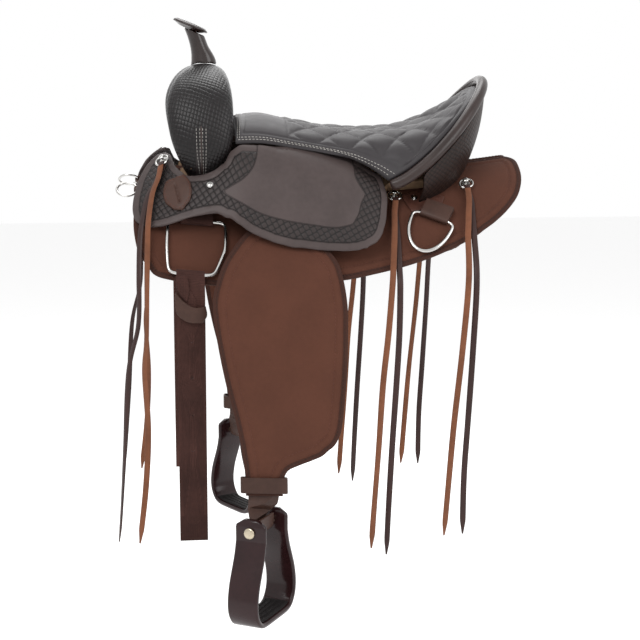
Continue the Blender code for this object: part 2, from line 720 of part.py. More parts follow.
def cantle_frame(v):
    """On the rim at v: the roll's centre, the cover's foot, and the direction along the rim."""
    side = -1 if v < 0 else 1
    w = min(1.0, abs(v))
    place = Vector(rim(w))
    along = (Vector(rim(min(1, w + 0.02))) - Vector(rim(max(0, w - 0.02)))).normalized()
    if w == 0:
        along = Vector((0, 1, 0))
    inward = seat_plain(0.94, w) - place
    inward = (inward - along * inward.dot(along)).normalized()
    turn = math.radians(90) * w
    foot_x = CANTLE_FOOT_X[0] + (CANTLE_FOOT_X[1] - CANTLE_FOOT_X[0]) * math.cos(turn)
    foot_s = CANTLE_FOOT_S * math.sin(turn)
    foot = on_side(1, foot_x, foot_s, SKIRT_OUT + 0.0035)
    centre = place - inward * (ROLL_RADIUS + 2 * GAP)
    for spot_found in (centre, foot, along):
        spot_found.y *= side
    return centre, foot, along * side


def cantle_back(v, t, inset):
    """The cantle's back: t from the roll to the foot, inset from its outside."""
    centre, foot, along = cantle_frame(v)
    down = foot - centre
    out = down.cross(along).normalized()
    if out.x < 0:
        out = -out
    down_square = (down - along * down.dot(along)).normalized()
    start = centre + down_square * (ROLL_RADIUS + GAP) + out * 0.006
    bulge = 0.006 * math.sin(math.pi * t)
    return start.lerp(foot, t) + out * (bulge - inset), out


def make_cantle():
    reach = 0.83

    def cover(u, v):
        return cantle_back((2 * u - 1) * reach, v, LEATHER_THICK)[0]

    def cover_out(u, v):
        return cantle_back((2 * u - 1) * reach, v, 0)[1]

    sheet("cantle_cover", 26, 5, cover, cover_out, LEATHER_THICK, "tooled_leather")

    board = 0.010

    def tree(u, v):
        across = 2 * u - 1
        foot = 0.885 - 0.045 * across ** 2  # just above the bars
        down = 0.45 + (foot - 0.45) * v
        return cantle_back(0.5 * across, down, LEATHER_THICK + 4 * GAP + board)[0]

    sheet("tree_cantle", 14, 3, tree, lambda u, v: cantle_back((2 * u - 1) * 0.5, 0.5, 0)[1],
          board, "tree_wood")
    centres = [cantle_frame(v)[0] for v in np.linspace(-1, 1, 33)]
    wire("cantle_roll", centres, ROLL_RADIUS, "smooth_leather", closed=False, resolution=2)


# Seat jockeys

JOCKEY_TOP = [(-0.268, 0.046), (-0.254, 0.043), (-0.244, 0.060), (-0.238, 0.084),
              (-0.220, 0.104), (-0.190, 0.109), (-0.166, 0.101), (-0.153, 0.088),
              (-0.144, 0.082), (-0.103, 0.081), (-0.060, 0.084), (-0.014, 0.087),
              (0.025, 0.092), (0.060, 0.101), (0.084, 0.111)]
JOCKEY_EDGE = [(-0.283, 0.062), (-0.298, 0.095), (-0.306, 0.140), (-0.300, 0.168),
               (-0.272, 0.178), (-0.225, 0.169), (-0.182, 0.164), (-0.157, 0.173),
               (-0.128, 0.190), (-0.078, 0.205), (-0.010, 0.212), (0.044, 0.211),
               (0.070, 0.197), (0.083, 0.172), (0.090, 0.132)]
# Heights along x: of the lower edge, and how much higher the top lies
JOCKEY_LOW = [(-0.302, SKIRT_OUT + GAP), (-0.235, 0.0338), (-0.150, JOCKEY_N),
              (0.055, JOCKEY_N), (0.104, 0.032)]
JOCKEY_RISE = [(-0.302, 0.0), (-0.270, 0.010), (-0.150, 0.0585), (-0.050, 0.0585), (0.0, 0.049),
               (0.100, 0.020)]
JOCKEY_RISE_FROM = 0.21
JOCKEY_RISE_TO = 0.08
JOCKEY_X_LINES = [-0.302, -0.270, -0.235, -0.205, -0.180, -0.150, -0.100, -0.050, 0.0, 0.025,
                  0.055, 0.080]


def jockey_inside(x, s):
    """The height of the jockey's underside."""
    low = float(np.interp(x, *zip(*JOCKEY_LOW)))
    rise = float(np.interp(x, *zip(*JOCKEY_RISE)))
    up = (JOCKEY_RISE_FROM - s) / (JOCKEY_RISE_FROM - JOCKEY_RISE_TO)
    return low + rise * min(1.2, max(0.0, up))


def jockey_outside(x, s):
    return jockey_inside(x, s) + LEATHER_THICK


def make_jockey(side, word):
    panel(f"jockey_{word}", side, outline_of(JOCKEY_TOP, JOCKEY_EDGE, 26, 32), jockey_inside,
          jockey_outside, "tooled_leather", JOCKEY_X_LINES + X_LINES)


# Fender, stirrup leather, hobble strap, stirrup and its bolt

FENDER_FRONT = [(-0.128, 0.178), (-0.154, 0.207), (-0.172, 0.237), (-0.185, 0.275),
                (-0.187, 0.306), (-0.175, 0.380), (-0.156, 0.461), (-0.145, 0.523),
                (-0.143, 0.568)]
FENDER_BACK = [(-0.040, 0.178), (-0.006, 0.210), (0.009, 0.237), (0.016, 0.277),
               (0.017, 0.310), (0.013, 0.377), (0.006, 0.455), (-0.004, 0.487),
               (-0.028, 0.508), (-0.064, 0.522), (-0.084, 0.536), (-0.087, 0.568)]


def make_fender(side, word):
    outline = ([tuple(p) for p in through(FENDER_FRONT, 14)]
               + [tuple(p) for p in through(FENDER_BACK, 24)[::-1]])
    obj = panel(f"fender_{word}", side, outline, level(FENDER_N),
                level(FENDER_N + FENDER_THICK), "cordura")
    turns_about(obj, fender_pivot(side))


def fender_pivot(side):
    return on_side(side, FENDER_X, FENDER_PIVOT_S, LEATHER_N + LEATHER_THICK / 2)


def swing_plane(side):
    """The directions up and out of the plane that the fender swings in."""
    c, s = math.cos(FENDER_SWING_SLOPE), math.sin(FENDER_SWING_SLOPE)
    return Vector((0, -side * c, s)), Vector((0, side * s, c))


def bolt_centre(side):
    return Vector((BOLT_X, side * BOLT_Y, BOLT_Z))


def bolt_axis(side):
    return Vector((math.sin(BOLT_TURN), -side * math.cos(BOLT_TURN), 0))


def make_stirrup_leather(side, word):
    """Down behind the fender, a twist at the neck, and round the stirrup's bolt."""
    n = LEATHER_N + LEATHER_THICK / 2
    wide = [(0.30, LEATHER_WIDTH), (0.50, 0.052), (0.60, LEATHER_NECK_WIDTH)]
    pivot, (upward, _) = fender_pivot(side), swing_plane(side)
    path, across, width = [pivot + upward * LEATHER_REACH, pivot], [Vector((1, 0, 0))] * 2, []
    width += [LEATHER_WIDTH] * 2
    for s in steps(FENDER_PIVOT_S + 0.010, 0.575):
        x = FENDER_X + (NECK_X - FENDER_X) * eased((s - 0.20) / 0.34)
        place, along, _, _ = spot(side, x, s, level(n))
        path.append(place)
        across.append(along)
        width.append(float(np.interp(s, *zip(*wide))))
    centre, axis, up = bolt_centre(side), bolt_axis(side), Vector((0, 0, 1))
    outward = Vector((math.cos(BOLT_TURN), side * math.sin(BOLT_TURN), 0))
    radius = BOLT_RADIUS + GAP + LEATHER_THICK / 2
    loop = [centre - outward * radius + up * 0.012, *fold(centre, -outward, -up, radius),
            centre + outward * radius + up * 0.016]
    last = path[-1]
    for t in (0.35, 0.7):
        path.append(last.lerp(loop[0], t))
        across.append(along.lerp(axis, t).normalized())
        width.append(LEATHER_NECK_WIDTH)
    obj = strap(f"stirrup_leather_{word}", path + loop, across + [axis] * len(loop),
                width + [LEATHER_NECK_WIDTH] * len(loop), LEATHER_THICK, "strap_leather")
    turns_about(obj, fender_pivot(side))


def make_hobble(side, word):
    """A band buckled round the fender's neck and the leather behind it."""
    half_n, corner = 0.0075, 0.004
    middle = (LEATHER_N + FENDER_N + FENDER_THICK) / 2
    path = []
    for i, (a, b) in enumerate([(1, 1), (-1, 1), (-1, -1), (1, -1)]):
        for turn in np.radians([0, 45, 90]) + i * math.pi / 2:
            path.append(on_side(side, NECK_X + a * (HOBBLE_HALF_WIDTH - corner)
                                + corner * math.cos(turn), HOBBLE_S,
                                middle + b * (half_n - corner) + corner * math.sin(turn)))
    down = spot(side, NECK_X, HOBBLE_S, level(middle))[2]
    obj = strap(f"hobble_strap_{word}", path, down, HOBBLE_HEIGHT, HOBBLE_THICK,
                "strap_leather", closed=True)
    turns_about(obj, fender_pivot(side))


def make_stirrup(side, word):
    """A band bent to a bell shape, wider at the tread than at the bolt."""
    centre, axis = bolt_centre(side), bolt_axis(side)
    top, tread, drop = STIRRUP_TOP_HALF, STIRRUP_TREAD_HALF, STIRRUP_DROP
    half = [(top, -0.014), (top + 0.007, -0.038), (tread - 0.005, -0.078), (tread, -0.108),
            (tread - 0.007, -drop + 0.013), (tread - 0.024, -drop + 0.0015), (0, -drop)]
    half = [(top, STIRRUP_RISE)] + [tuple(p) for p in through(half, 13)]
    places = [centre + axis * e + Vector((0, 0, z))
              for e, z in half + [(-e, z) for e, z in half[-2::-1]]]
    over = axis.cross(Vector((0, 0, 1)))
    obj = strap(f"stirrup_{word}", places, over, STIRRUP_BAND, STIRRUP_THICK, "stirrup_resin")
    turns_about(obj, centre)
    cut(obj, round_cutter(f"bolt_hole_{word}", centre, axis, BOLT_RADIUS + 2 * GAP, 0.12))
    grip = top + STIRRUP_THICK / 2 + GAP
    end = grip + BOLT_HEAD_THICK
    profile = [(0, end), (0.7 * BOLT_HEAD_RADIUS, end), (BOLT_HEAD_RADIUS, end - 0.0015),
               (BOLT_HEAD_RADIUS, grip), (BOLT_RADIUS, grip)]
    profile += [(r, -z) for r, z in profile[::-1]]
    turned(f"stirrup_bolt_{word}", profile, 12, centre, axis, "steel")


# Rigging ring, its tab, and the cinch strap that hangs from it

RING_N = SKIRT_OUT + 4 * GAP + WEB_THICK + RING_WIRE  # one strap ply fits behind the wire
PLY = RING_WIRE + GAP + WEB_THICK / 2  # from the wire's middle to a strap ply's middle


def rounded(corners, radius):
    """A closed outline with its corners eased."""
    out = []
    for i, corner in enumerate(corners):
        here = np.array(corner)
        before, after = np.array(corners[i - 1]), np.array(corners[(i + 1) % len(corners)])
        start = here + (before - here) * radius / np.linalg.norm(before - here)
        end = here + (after - here) * radius / np.linalg.norm(after - here)
        out += [start, (start + end) / 4 + here / 2, end]
    return out


def make_rigging(side, word):
    corners = [(RIG_FRONT, RIG_TOP), (RIG_BACK, RIG_TOP), (RIG_BACK - 0.002, RIG_TOP + 0.045),
               (RIG_BACK - 0.020, RIG_FOOT), (RIG_FRONT - 0.002, RIG_FOOT),
               (RIG_FRONT - 0.003, RIG_TOP + 0.045)]
    outline = rounded(corners, 0.009)
    finer = []
    for a, b in zip(outline, outline[1:] + outline[:1]):
        pieces = max(1, round(float(np.linalg.norm(b - a)) / 0.02))
        finer += [a + (b - a) * k / pieces for k in range(pieces)]
    wire(f"rigging_ring_{word}", [on_side(side, x, s, RING_N) for x, s in finer], RING_WIRE,
         "steel")

    x = (RIG_FRONT + RIG_BACK) / 2
    bar, along, down, out = spot(side, x, RIG_TOP, level(RING_N))
    path = [on_side(side, x, s, RING_N - PLY) for s in steps(RIG_TOP - 0.042, RIG_TOP - 0.003)]
    path += fold(bar, -out, down, PLY)
    path += [on_side(side, x, s, RING_N + PLY) for s in steps(RIG_TOP - 0.003, RIG_TOP - 0.024)]
    strap(f"rigging_tab_{word}", path, along, RIG_TAB_WIDTH, WEB_THICK, "strap_leather")


def make_cinch_strap(side, word):
    """Webbing folded over the ring's lower bar, hanging plumb, with punched holes."""
    bar, along, down, out = spot(side, CINCH_X, RIG_FOOT, level(RING_N))
    front = bar + out * PLY + down * 0.016
    plumb = front + Vector((0, side * 0.001, -0.035))
    path = [bar - out * PLY + down * 0.018, bar - out * PLY + down * 0.004,
            *fold(bar, -out, -down, PLY), bar + out * PLY + down * 0.004, front, plumb]
    across = [along] * (len(path) - 1) + [Vector((1, 0, 0))] * 4
    for z in np.linspace(plumb.z, CINCH_FOOT_Z, 4)[1:]:
        path.append(Vector((CINCH_X, plumb.y, z)))
    obj = strap(f"cinch_strap_{word}", path, across, CINCH_WIDTH, WEB_THICK, "webbing")
    turns_about(obj, bar)
    for i in range(CINCH_HOLES):
        z = CINCH_FOOT_Z + CINCH_FIRST_HOLE + i * CINCH_HOLE_PITCH
        cut(obj, round_cutter(f"punch_{word}_{i}", Vector((CINCH_X, plumb.y, z)), (0, 1, 0),
                              CINCH_HOLE_RADIUS, 0.02, 8))


# Rear dee and its sewn tab

def make_rear_dee(side, word):
    turn_x, turn_s = math.cos(DEE_TILT), math.sin(DEE_TILT)
    outline = [(-DEE_HALF_WIDTH, 0), (DEE_HALF_WIDTH, 0)]
    outline += [(DEE_HALF_WIDTH * math.cos(t), 0.012 + (DEE_DROP - 0.012) * math.sin(t))
                for t in np.radians(np.linspace(0, 180, 13))]
    places = [on_side(side, DEE_X + turn_x * a - turn_s * o, DEE_S + turn_s * a + turn_x * o,
                      RING_N + DEE_RAISE) for a, o in outline]
    start, end = places[:2]
    bar, along = (start + end) / 2, (end - start).normalized()
    turns_about(wire(f"rear_dee_{word}", places, RING_WIRE, "steel"), bar)
    out = away(side, DEE_S)
    out = (out - along * out.dot(along)).normalized()
    down = out.cross(along) if out.cross(along).z < 0 else along.cross(out)
    path = [bar - out * PLY - down * DEE_TAB_LENGTH, bar - out * PLY - down * 0.004,
            *fold(bar, -out, down, PLY), bar + out * PLY - down * 0.004,
            bar + out * PLY - down * (DEE_TAB_LENGTH - 0.004)]
    strap(f"rear_dee_tab_{word}", path, along, DEE_TAB_WIDTH, WEB_THICK, "strap_leather")


# Breast-collar ring at the front edge

def make_breast_ring(side, word):
    thick = 0.002
    reach = BREAST_WIRE + 4 * GAP + thick / 2
    edge, _, down, out = spot(side, BREAST_X, BREAST_S, level(SKIRT_OUT - 0.0065))
    forward = Vector((-1, 0, 0))
    pin = edge + forward * 0.006
    centre = pin + forward * BREAST_RING_RADIUS
    turns = np.linspace(0, 2 * math.pi, 18, endpoint=False)
    places = [centre + forward * BREAST_RING_RADIUS * math.cos(a)
              + down * BREAST_RING_RADIUS * math.sin(a) for a in turns]
    turns_about(wire(f"breast_ring_{word}", places, BREAST_WIRE, "steel"), pin)
    path = [edge - out * reach, *fold(pin, -out, forward, reach), edge + out * reach]
    strap(f"breast_tab_{word}", path, down, BREAST_TAB_WIDTH, thick, "strap_leather")


# Studs, rings and saddle strings

def make_string_set(side, word, name):
    (x, s), *tails = STRINGS[name]
    lies_on = jockey_outside if name == "front" else level(SKIRT_OUT)
    base, along, down, out = spot(side, x, s, lies_on)
    ply = STRING_RING_WIRE + GAP + STRING_THICK / 2
    lift = STRING_THICK / 2 + SOFT_LIFT + ply  # of the ring's middle above what it lies on
    flange, post_end = 0.001, lift + STRING_RING_WIRE + 2 * GAP
    profile = [(0, post_end + 0.002), (0.7 * STUD_HEAD_RADIUS, post_end + 0.002),
               (STUD_HEAD_RADIUS, post_end + 0.0008), (STUD_HEAD_RADIUS, post_end),
               (STUD_RADIUS, post_end), (STUD_RADIUS, flange), (STUD_BASE_RADIUS, flange),
               (STUD_BASE_RADIUS, 0), (0, 0)]
    base += out * (SOFT_LIFT if name == "front" else GAP)
    turned(f"string_stud_{name}_{word}", profile, 10, base, out, "steel")

    drop = STRING_RING_RADIUS - STRING_RING_WIRE - STUD_RADIUS - GAP
    centre = base + out * lift + down * drop
    lift += SOFT_LIFT
    start = math.pi / 2 + FLAT_ANGLE
    turns = np.linspace(start, start + 2 * math.pi - 2 * FLAT_ANGLE, 12)
    wire(f"string_ring_{name}_{word}",
         [centre + (along * math.cos(a) + down * math.sin(a)) * STRING_RING_RADIUS
          for a in turns], STRING_RING_WIRE, "steel")

    bar = centre + down * STRING_RING_RADIUS * math.cos(FLAT_ANGLE)
    inner = string_tail(side, name, lies_on, lift - ply, tails[0])
    outer = string_tail(side, name, lies_on, lift + ply, tails[1])
    inner.insert(0, (bar - out * ply + down * 0.003, along))
    outer.insert(0, (bar + out * ply + down * 0.003, along))
    folded = [(p, along) for p in fold(bar, -out, -down, ply)]
    path, across = zip(*(inner[::-1] + folded + outer))
    strap(f"saddle_string_{name}_{word}", path, list(across), STRING_WIDTH, STRING_THICK,
          "string_leather")


def string_tail(side, name, lies_on, lift, tail):
    """One tail's places and crosswise directions: down the side, then off its edge."""
    on_it, below = tail
    xs, ss = zip(*on_it)
    places = []
    for s in steps(ss[0], ss[-1]):
        height = lies_on if name != "front" or s < 0.19 else level(SKIRT_OUT + 0.001)
        _, along, _, out = spot(side, float(np.interp(s, ss, xs)), s, height)
        place = on_side(side, float(np.interp(s, ss, xs)), s,
                        height(float(np.interp(s, ss, xs)), s) + lift)
        places.append((place, along))
    edge_s = 0.262
    x = below[0][0]
    edge = on_side(side, xs[-1] + (x - xs[-1]) * 0.4, edge_s, SKIRT_OUT + lift)
    places.append((edge, Vector((1, 0, 0))))
    for x, z in below:
        places.append((Vector((x, edge.y + side * 0.003, z)), Vector((1, 0, 0))))
    return places


CARRIER_FRONT = [(-0.254, 0.108), (-0.259, 0.125), (-0.255, 0.143), (-0.243, 0.155)]
CARRIER_BACK = [(-0.226, 0.104), (-0.216, 0.120), (-0.217, 0.142), (-0.231, 0.157)]


def make_latigo_carrier():
    """A rounded leather piece that takes the latigo's end, on the rider's left only."""
    outline = ([tuple(p) for p in through(CARRIER_FRONT, 8)]
               + [tuple(p) for p in through(CARRIER_BACK, 8)[::-1]])
    panel("latigo_carrier", -1, outline, lambda x, s: jockey_outside(x, s) + SOFT_LIFT,
          lambda x, s: jockey_outside(x, s) + SOFT_LIFT + 0.003, "strap_leather", JOCKEY_X_LINES)


def main():
    clear_scene()
    make_fork()
    make_horn()
    make_seat()
    make_ground_seat()
    make_cantle()
    for side, word in ((-1, "left"), (1, "right")):
        make_skirt(side, word)
        make_jockey(side, word)
        make_fender(side, word)
        make_stirrup_leather(side, word)
        make_hobble(side, word)
        make_stirrup(side, word)
        make_rigging(side, word)
        make_cinch_strap(side, word)
        make_rear_dee(side, word)
        make_breast_ring(side, word)
        for name in STRINGS:
            make_string_set(side, word, name)
    make_latigo_carrier()


main()
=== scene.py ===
# %% [markdown]
# # The looks of a trail saddle
#
# The working model gives every piece its place and its joints. This script dresses it: smooth
# panels laid over the flat-sided ones, a quilted seat, tooled and stitched leather, woven
# skirts, steel rings and the long strings. Everything is in metres, +Z up. The horn is at -X,
# the cantle at +X, and the rider's left is -Y.

# %% Load the frame
import json
import math

import bmesh
import bpy
import numpy as np
from mathutils import Matrix, Vector
from mathutils.bvhtree import BVHTree
from mathutils.geometry import delaunay_2d_cdt

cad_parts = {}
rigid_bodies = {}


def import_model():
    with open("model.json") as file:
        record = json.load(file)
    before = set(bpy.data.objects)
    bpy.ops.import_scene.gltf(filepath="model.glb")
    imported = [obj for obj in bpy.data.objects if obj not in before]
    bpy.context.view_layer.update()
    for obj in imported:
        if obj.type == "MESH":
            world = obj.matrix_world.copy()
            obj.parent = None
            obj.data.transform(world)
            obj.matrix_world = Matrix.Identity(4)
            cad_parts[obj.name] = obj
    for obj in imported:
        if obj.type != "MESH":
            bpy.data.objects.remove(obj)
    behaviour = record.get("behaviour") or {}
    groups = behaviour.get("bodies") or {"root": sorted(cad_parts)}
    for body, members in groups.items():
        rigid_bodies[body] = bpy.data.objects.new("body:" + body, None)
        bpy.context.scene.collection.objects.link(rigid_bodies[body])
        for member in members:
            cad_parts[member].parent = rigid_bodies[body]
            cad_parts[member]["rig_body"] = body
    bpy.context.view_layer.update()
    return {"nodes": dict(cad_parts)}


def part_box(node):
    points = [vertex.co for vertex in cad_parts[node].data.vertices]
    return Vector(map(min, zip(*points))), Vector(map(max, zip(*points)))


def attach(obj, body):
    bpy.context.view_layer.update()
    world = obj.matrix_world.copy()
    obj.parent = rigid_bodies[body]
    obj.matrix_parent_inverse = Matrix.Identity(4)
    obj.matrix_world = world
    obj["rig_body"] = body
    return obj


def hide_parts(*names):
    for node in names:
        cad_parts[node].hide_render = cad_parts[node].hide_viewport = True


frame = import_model()
SIDES = {"left": -1, "right": 1}

# %% [markdown]
# ## Camera, light and floor
#
# The saddle is seen from the rider's left, slightly from in front and from a little above the
# seat. A long lens keeps its two ends at one scale. Four large soft lamps and a pale world
# light it. The world is plain white to the camera and to reflections, and dimmer as a light.

# %% Camera
CAMERA_AZIMUTH = math.radians(-6)
CAMERA_DISTANCE = 2.6
AIM = Vector((0, 0, -0.234))


def shown(obj):
    bpy.context.scene.collection.objects.link(obj)


camera_data = bpy.data.cameras.new("camera")
camera_data.lens = 88.6
camera = bpy.data.objects.new("camera", camera_data)
shown(camera)
camera.location = (CAMERA_DISTANCE * math.sin(CAMERA_AZIMUTH),
                   -CAMERA_DISTANCE * math.cos(CAMERA_AZIMUTH), 0.22)
camera.rotation_euler = (AIM - camera.location).to_track_quat("-Z", "Y").to_euler()
bpy.context.scene.camera = camera

# %% Light and floor
LAMPS = [  # place, size, power
    ((-1.3, -2.1, 1.9), 1.6, 42),
    ((1.9, -1.5, 0.9), 1.5, 20),
    ((0.1, 1.4, 2.2), 1.6, 30),
    ((0.0, 2.2, 0.2), 1.6, 10),
]
FLOOR_Z = -0.95


def white_world():
    world = bpy.data.worlds.new("studio")
    world.use_nodes = True
    tree = world.node_tree
    background = tree.nodes["Background"]
    background.inputs["Color"].default_value = (1, 1, 1, 1)
    rays = tree.nodes.new("ShaderNodeLightPath")
    seen = rays.outputs["Is Camera Ray"]
    for name in ("Is Glossy Ray", "Is Transmission Ray"):
        either = tree.nodes.new("ShaderNodeMath")
        either.operation = "MAXIMUM"
        tree.links.new(seen, either.inputs[0])
        tree.links.new(rays.outputs[name], either.inputs[1])
        seen = either.outputs[0]
    strength = tree.nodes.new("ShaderNodeMapRange")
    strength.inputs["To Min"].default_value = 0.62
    strength.inputs["To Max"].default_value = 1.0
    tree.links.new(seen, strength.inputs["Value"])
    tree.links.new(strength.outputs["Result"], background.inputs["Strength"])
    bpy.context.scene.world = world


def soft_lamp(name, place, size, power):
    data = bpy.data.lights.new(name, "AREA")
    data.size = size
    data.energy = power
    lamp = bpy.data.objects.new(name, data)
    lamp.location = place
    lamp.rotation_euler = (AIM - lamp.location).to_track_quat("-Z", "Y").to_euler()
    shown(lamp)


def pale_floor():
    mesh = bpy.data.meshes.new("floor")
    bm = bmesh.new()
    bmesh.ops.create_grid(bm, x_segments=1, y_segments=1, size=8)
    bm.to_mesh(mesh)
    bm.free()
    floor = bpy.data.objects.new("floor", mesh)
    floor.location.z = FLOOR_Z
    shown(floor)
    paint = bpy.data.materials.new("floor_white")
    paint.use_nodes = True
    shader = paint.node_tree.nodes["Principled BSDF"]
    shader.inputs["Base Color"].default_value = (0.9, 0.9, 0.9, 1)
    shader.inputs["Roughness"].default_value = 0.9
    shader.inputs["Emission Color"].default_value = (1, 1, 1, 1)
    shader.inputs["Emission Strength"].default_value = 0.35
    mesh.materials.append(paint)


white_world()
for number, (place, size, power) in enumerate(LAMPS):
    soft_lamp(f"lamp_{number}", place, size, power)
pale_floor()
bpy.context.scene.view_settings.view_transform = "Standard"
print("lamps", len(LAMPS))

# %% [markdown]
# ## The side of the back
#
# Most of a saddle is flat leather laid on two sloping sides. The same place can be given by x,
# by s, the distance walked down the side from the middle line, and by n, the height above the
# side. The working model uses flat facets between KNOTS. The dressed panels use the smooth
# curve that those facets follow, so that light runs over them without breaks.

# %% Flat facets, as the straps and strings follow them
KNOTS = [0, 0.02, 0.04, 0.06, 0.08, 0.10, 0.125, 0.15, 0.18, 0.21, 0.24, 0.27, 0.30, 0.34,
         0.40, 0.50, 0.60]
X_LINES = [-0.245, -0.16, -0.055, 0.035, 0.125, 0.21]


def eased(t):
    t = np.clip(t, 0, 1)
    return t * t * (3 - 2 * t)


def slope_at(s):
    return (math.radians(66) * (1 - np.exp(-s / 0.12))
            + math.radians(17) * eased((s - 0.20) / 0.16))


def rocker(x):
    return 0.020 * (x / 0.30) ** 2


def side_facets():
    slopes = [float(slope_at((a + b) / 2)) for a, b in zip(KNOTS, KNOTS[1:])]
    rows, y, z = [], 0.0, 0.0
    for i, s in enumerate(KNOTS):
        if i:
            y += (s - KNOTS[i - 1]) * math.cos(slopes[i - 1])
            z -= (s - KNOTS[i - 1]) * math.sin(slopes[i - 1])
        above = slopes[i - 1] if i else 0.0
        below = slopes[min(i, len(slopes) - 1)]
        middle, mitre = (above + below) / 2, 1 / math.cos((below - above) / 2)
        rows.append((y, z, math.sin(middle) * mitre, math.cos(middle) * mitre))
    return np.array(rows)


FACETS = side_facets()
ROCKER_X = [-0.35] + X_LINES + [0.35]


def on_side(side, x, s, n):
    y, z, step_y, step_z = (float(np.interp(s, KNOTS, FACETS[:, k])) for k in range(4))
    lift = float(np.interp(x, ROCKER_X, [rocker(v) for v in ROCKER_X]))
    return Vector((x, side * (y + n * step_y), z + n * step_z + lift))


def steps(start, end):
    inner = [k for k in KNOTS if start + 0.002 < k < end - 0.002]
    return [start] + inner + [end]


def spot(side, x, s, height):
    """A place on the surface n = height(x, s), and the directions along x, down and out."""
    d = 0.004
    place = on_side(side, x, s, height(x, s))
    along = (on_side(side, x + d, s, height(x + d, s))
             - on_side(side, x - d, s, height(x - d, s))).normalized()
    down = (on_side(side, x, s + d, height(x, s + d))
            - on_side(side, x, s - d, height(x, s - d))).normalized()
    out = along.cross(down).normalized()
    return place, along, down, out if out.z > 0 else -out


# %% The smooth side, and how to read x, s and n back from a place
FINE_STEP = 0.0005
FINE_S = np.arange(0, 0.66, FINE_STEP)
FINE_SLOPE = slope_at(FINE_S)
MEAN_SLOPE = (FINE_SLOPE[1:] + FINE_SLOPE[:-1]) / 2
FINE_Y = np.concatenate([[0], np.cumsum(np.cos(MEAN_SLOPE))]) * FINE_STEP
FINE_Z = -np.concatenate([[0], np.cumsum(np.sin(MEAN_SLOPE))]) * FINE_STEP


def lay(side, x, s, n):
    """Places on the smooth side, for arrays of x, s and n."""
    slope = np.interp(s, FINE_S, FINE_SLOPE)
    y = np.interp(s, FINE_S, FINE_Y) + n * np.sin(slope)
    z = np.interp(s, FINE_S, FINE_Z) + n * np.cos(slope) + rocker(x)
    return np.stack([x, side * y, z], axis=-1)


def read_back(places):
    """x, s and n of places near a side."""
    found = []
    for x, y, z in places:
        gap_y, gap_z = abs(y) - FINE_Y, z - rocker(x) - FINE_Z
        nearest = int(np.argmin(gap_y ** 2 + gap_z ** 2))
        slope = FINE_SLOPE[nearest]
        found.append((x, FINE_S[nearest],
                      gap_y[nearest] * math.sin(slope) + gap_z[nearest] * math.cos(slope)))
    return np.array(found)


def outward(side, s):
    slope = float(np.interp(s, FINE_S, FINE_SLOPE))
    return Vector((0, side * math.sin(slope), math.cos(slope)))


print("the side runs", round(float(FINE_Y[-1]), 3), "out and", round(float(FINE_Z[-1]), 3), "down")

# %% [markdown]
# ## Surface effects shared by the materials
#
# Leather is pebbled and a little mottled. Stamped basket weave is a chequer of short humps
# that lie crosswise to each other. Woven fabric is the same chequer at the size of a thread.
# Each effect is one node group with its own sockets, so each material sets its own scale.
# Flow lets the sums be written as sums.

# %% Sums made of Math nodes
class Flow:
    """A number that changes over a surface. What is done to it becomes a node."""

    def __init__(self, tree, socket):
        self.tree = tree
        self.socket = socket

    def math(self, operation, *others):
        made = self.tree.nodes.new("ShaderNodeMath")
        made.operation = operation
        for place, value in enumerate((self, *others)):
            if isinstance(value, Flow):
                self.tree.links.new(value.socket, made.inputs[place])
            else:
                made.inputs[place].default_value = value
        return Flow(self.tree, made.outputs[0])

    def __add__(self, other):
        return self.math("ADD", other)

    def __sub__(self, other):
        return self.math("SUBTRACT", other)

    def __mul__(self, other):
        return self.math("MULTIPLY", other)

    def __truediv__(self, other):
        return self.math("DIVIDE", other)

    def step(self, low, high):
        """0 below low, 1 above high, smooth between."""
        made = self.tree.nodes.new("ShaderNodeMapRange")
        made.interpolation_type = "SMOOTHSTEP"
        self.tree.links.new(self.socket, made.inputs["Value"])
        made.inputs["From Min"].default_value = low
        made.inputs["From Max"].default_value = high
        return Flow(self.tree, made.outputs["Result"])

    def into(self, socket):
        self.tree.links.new(self.socket, socket)


def group(name, inputs, outputs):
    """An empty node group, its input and its output node. inputs are (name, kind, value)."""
    tree = bpy.data.node_groups.new(name, "ShaderNodeTree")
    for label, kind, value in inputs:
        socket = tree.interface.new_socket(label, in_out="INPUT", socket_type=kind)
        if value is not None:
            socket.default_value = value
    for label, kind in outputs:
        tree.interface.new_socket(label, in_out="OUTPUT", socket_type=kind)
    return tree, tree.nodes.new("NodeGroupInput"), tree.nodes.new("NodeGroupOutput")


# %% Leather grain: pebbles, creases and mottling
def make_grain():
    tree, given, result = group(
        "leather_grain",
        [("Place", "NodeSocketVector", None), ("Pebbles", "NodeSocketFloat", 700.0)],
        [("Height", "NodeSocketFloat"), ("Mottle", "NodeSocketFloat")])
    cells = tree.nodes.new("ShaderNodeTexVoronoi")
    cells.feature = "SMOOTH_F1"
    tree.links.new(given.outputs["Place"], cells.inputs["Vector"])
    tree.links.new(given.outputs["Pebbles"], cells.inputs["Scale"])
    creases = tree.nodes.new("ShaderNodeTexNoise")
    creases.inputs["Scale"].default_value = 140
    creases.inputs["Detail"].default_value = 5
    tree.links.new(given.outputs["Place"], creases.inputs["Vector"])
    cloudy = tree.nodes.new("ShaderNodeTexNoise")
    cloudy.inputs["Scale"].default_value = 17
    cloudy.inputs["Detail"].default_value = 4
    tree.links.new(given.outputs["Place"], cloudy.inputs["Vector"])
    pebble = Flow(tree, cells.outputs["Distance"])
    crease = Flow(tree, creases.outputs["Fac"])
    (pebble * 0.5 + crease * 0.8).into(result.inputs["Height"])
    (Flow(tree, cloudy.outputs["Fac"]) * 0.7 + crease * 0.3).step(0.3, 0.7).into(
        result.inputs["Mottle"])
    return tree


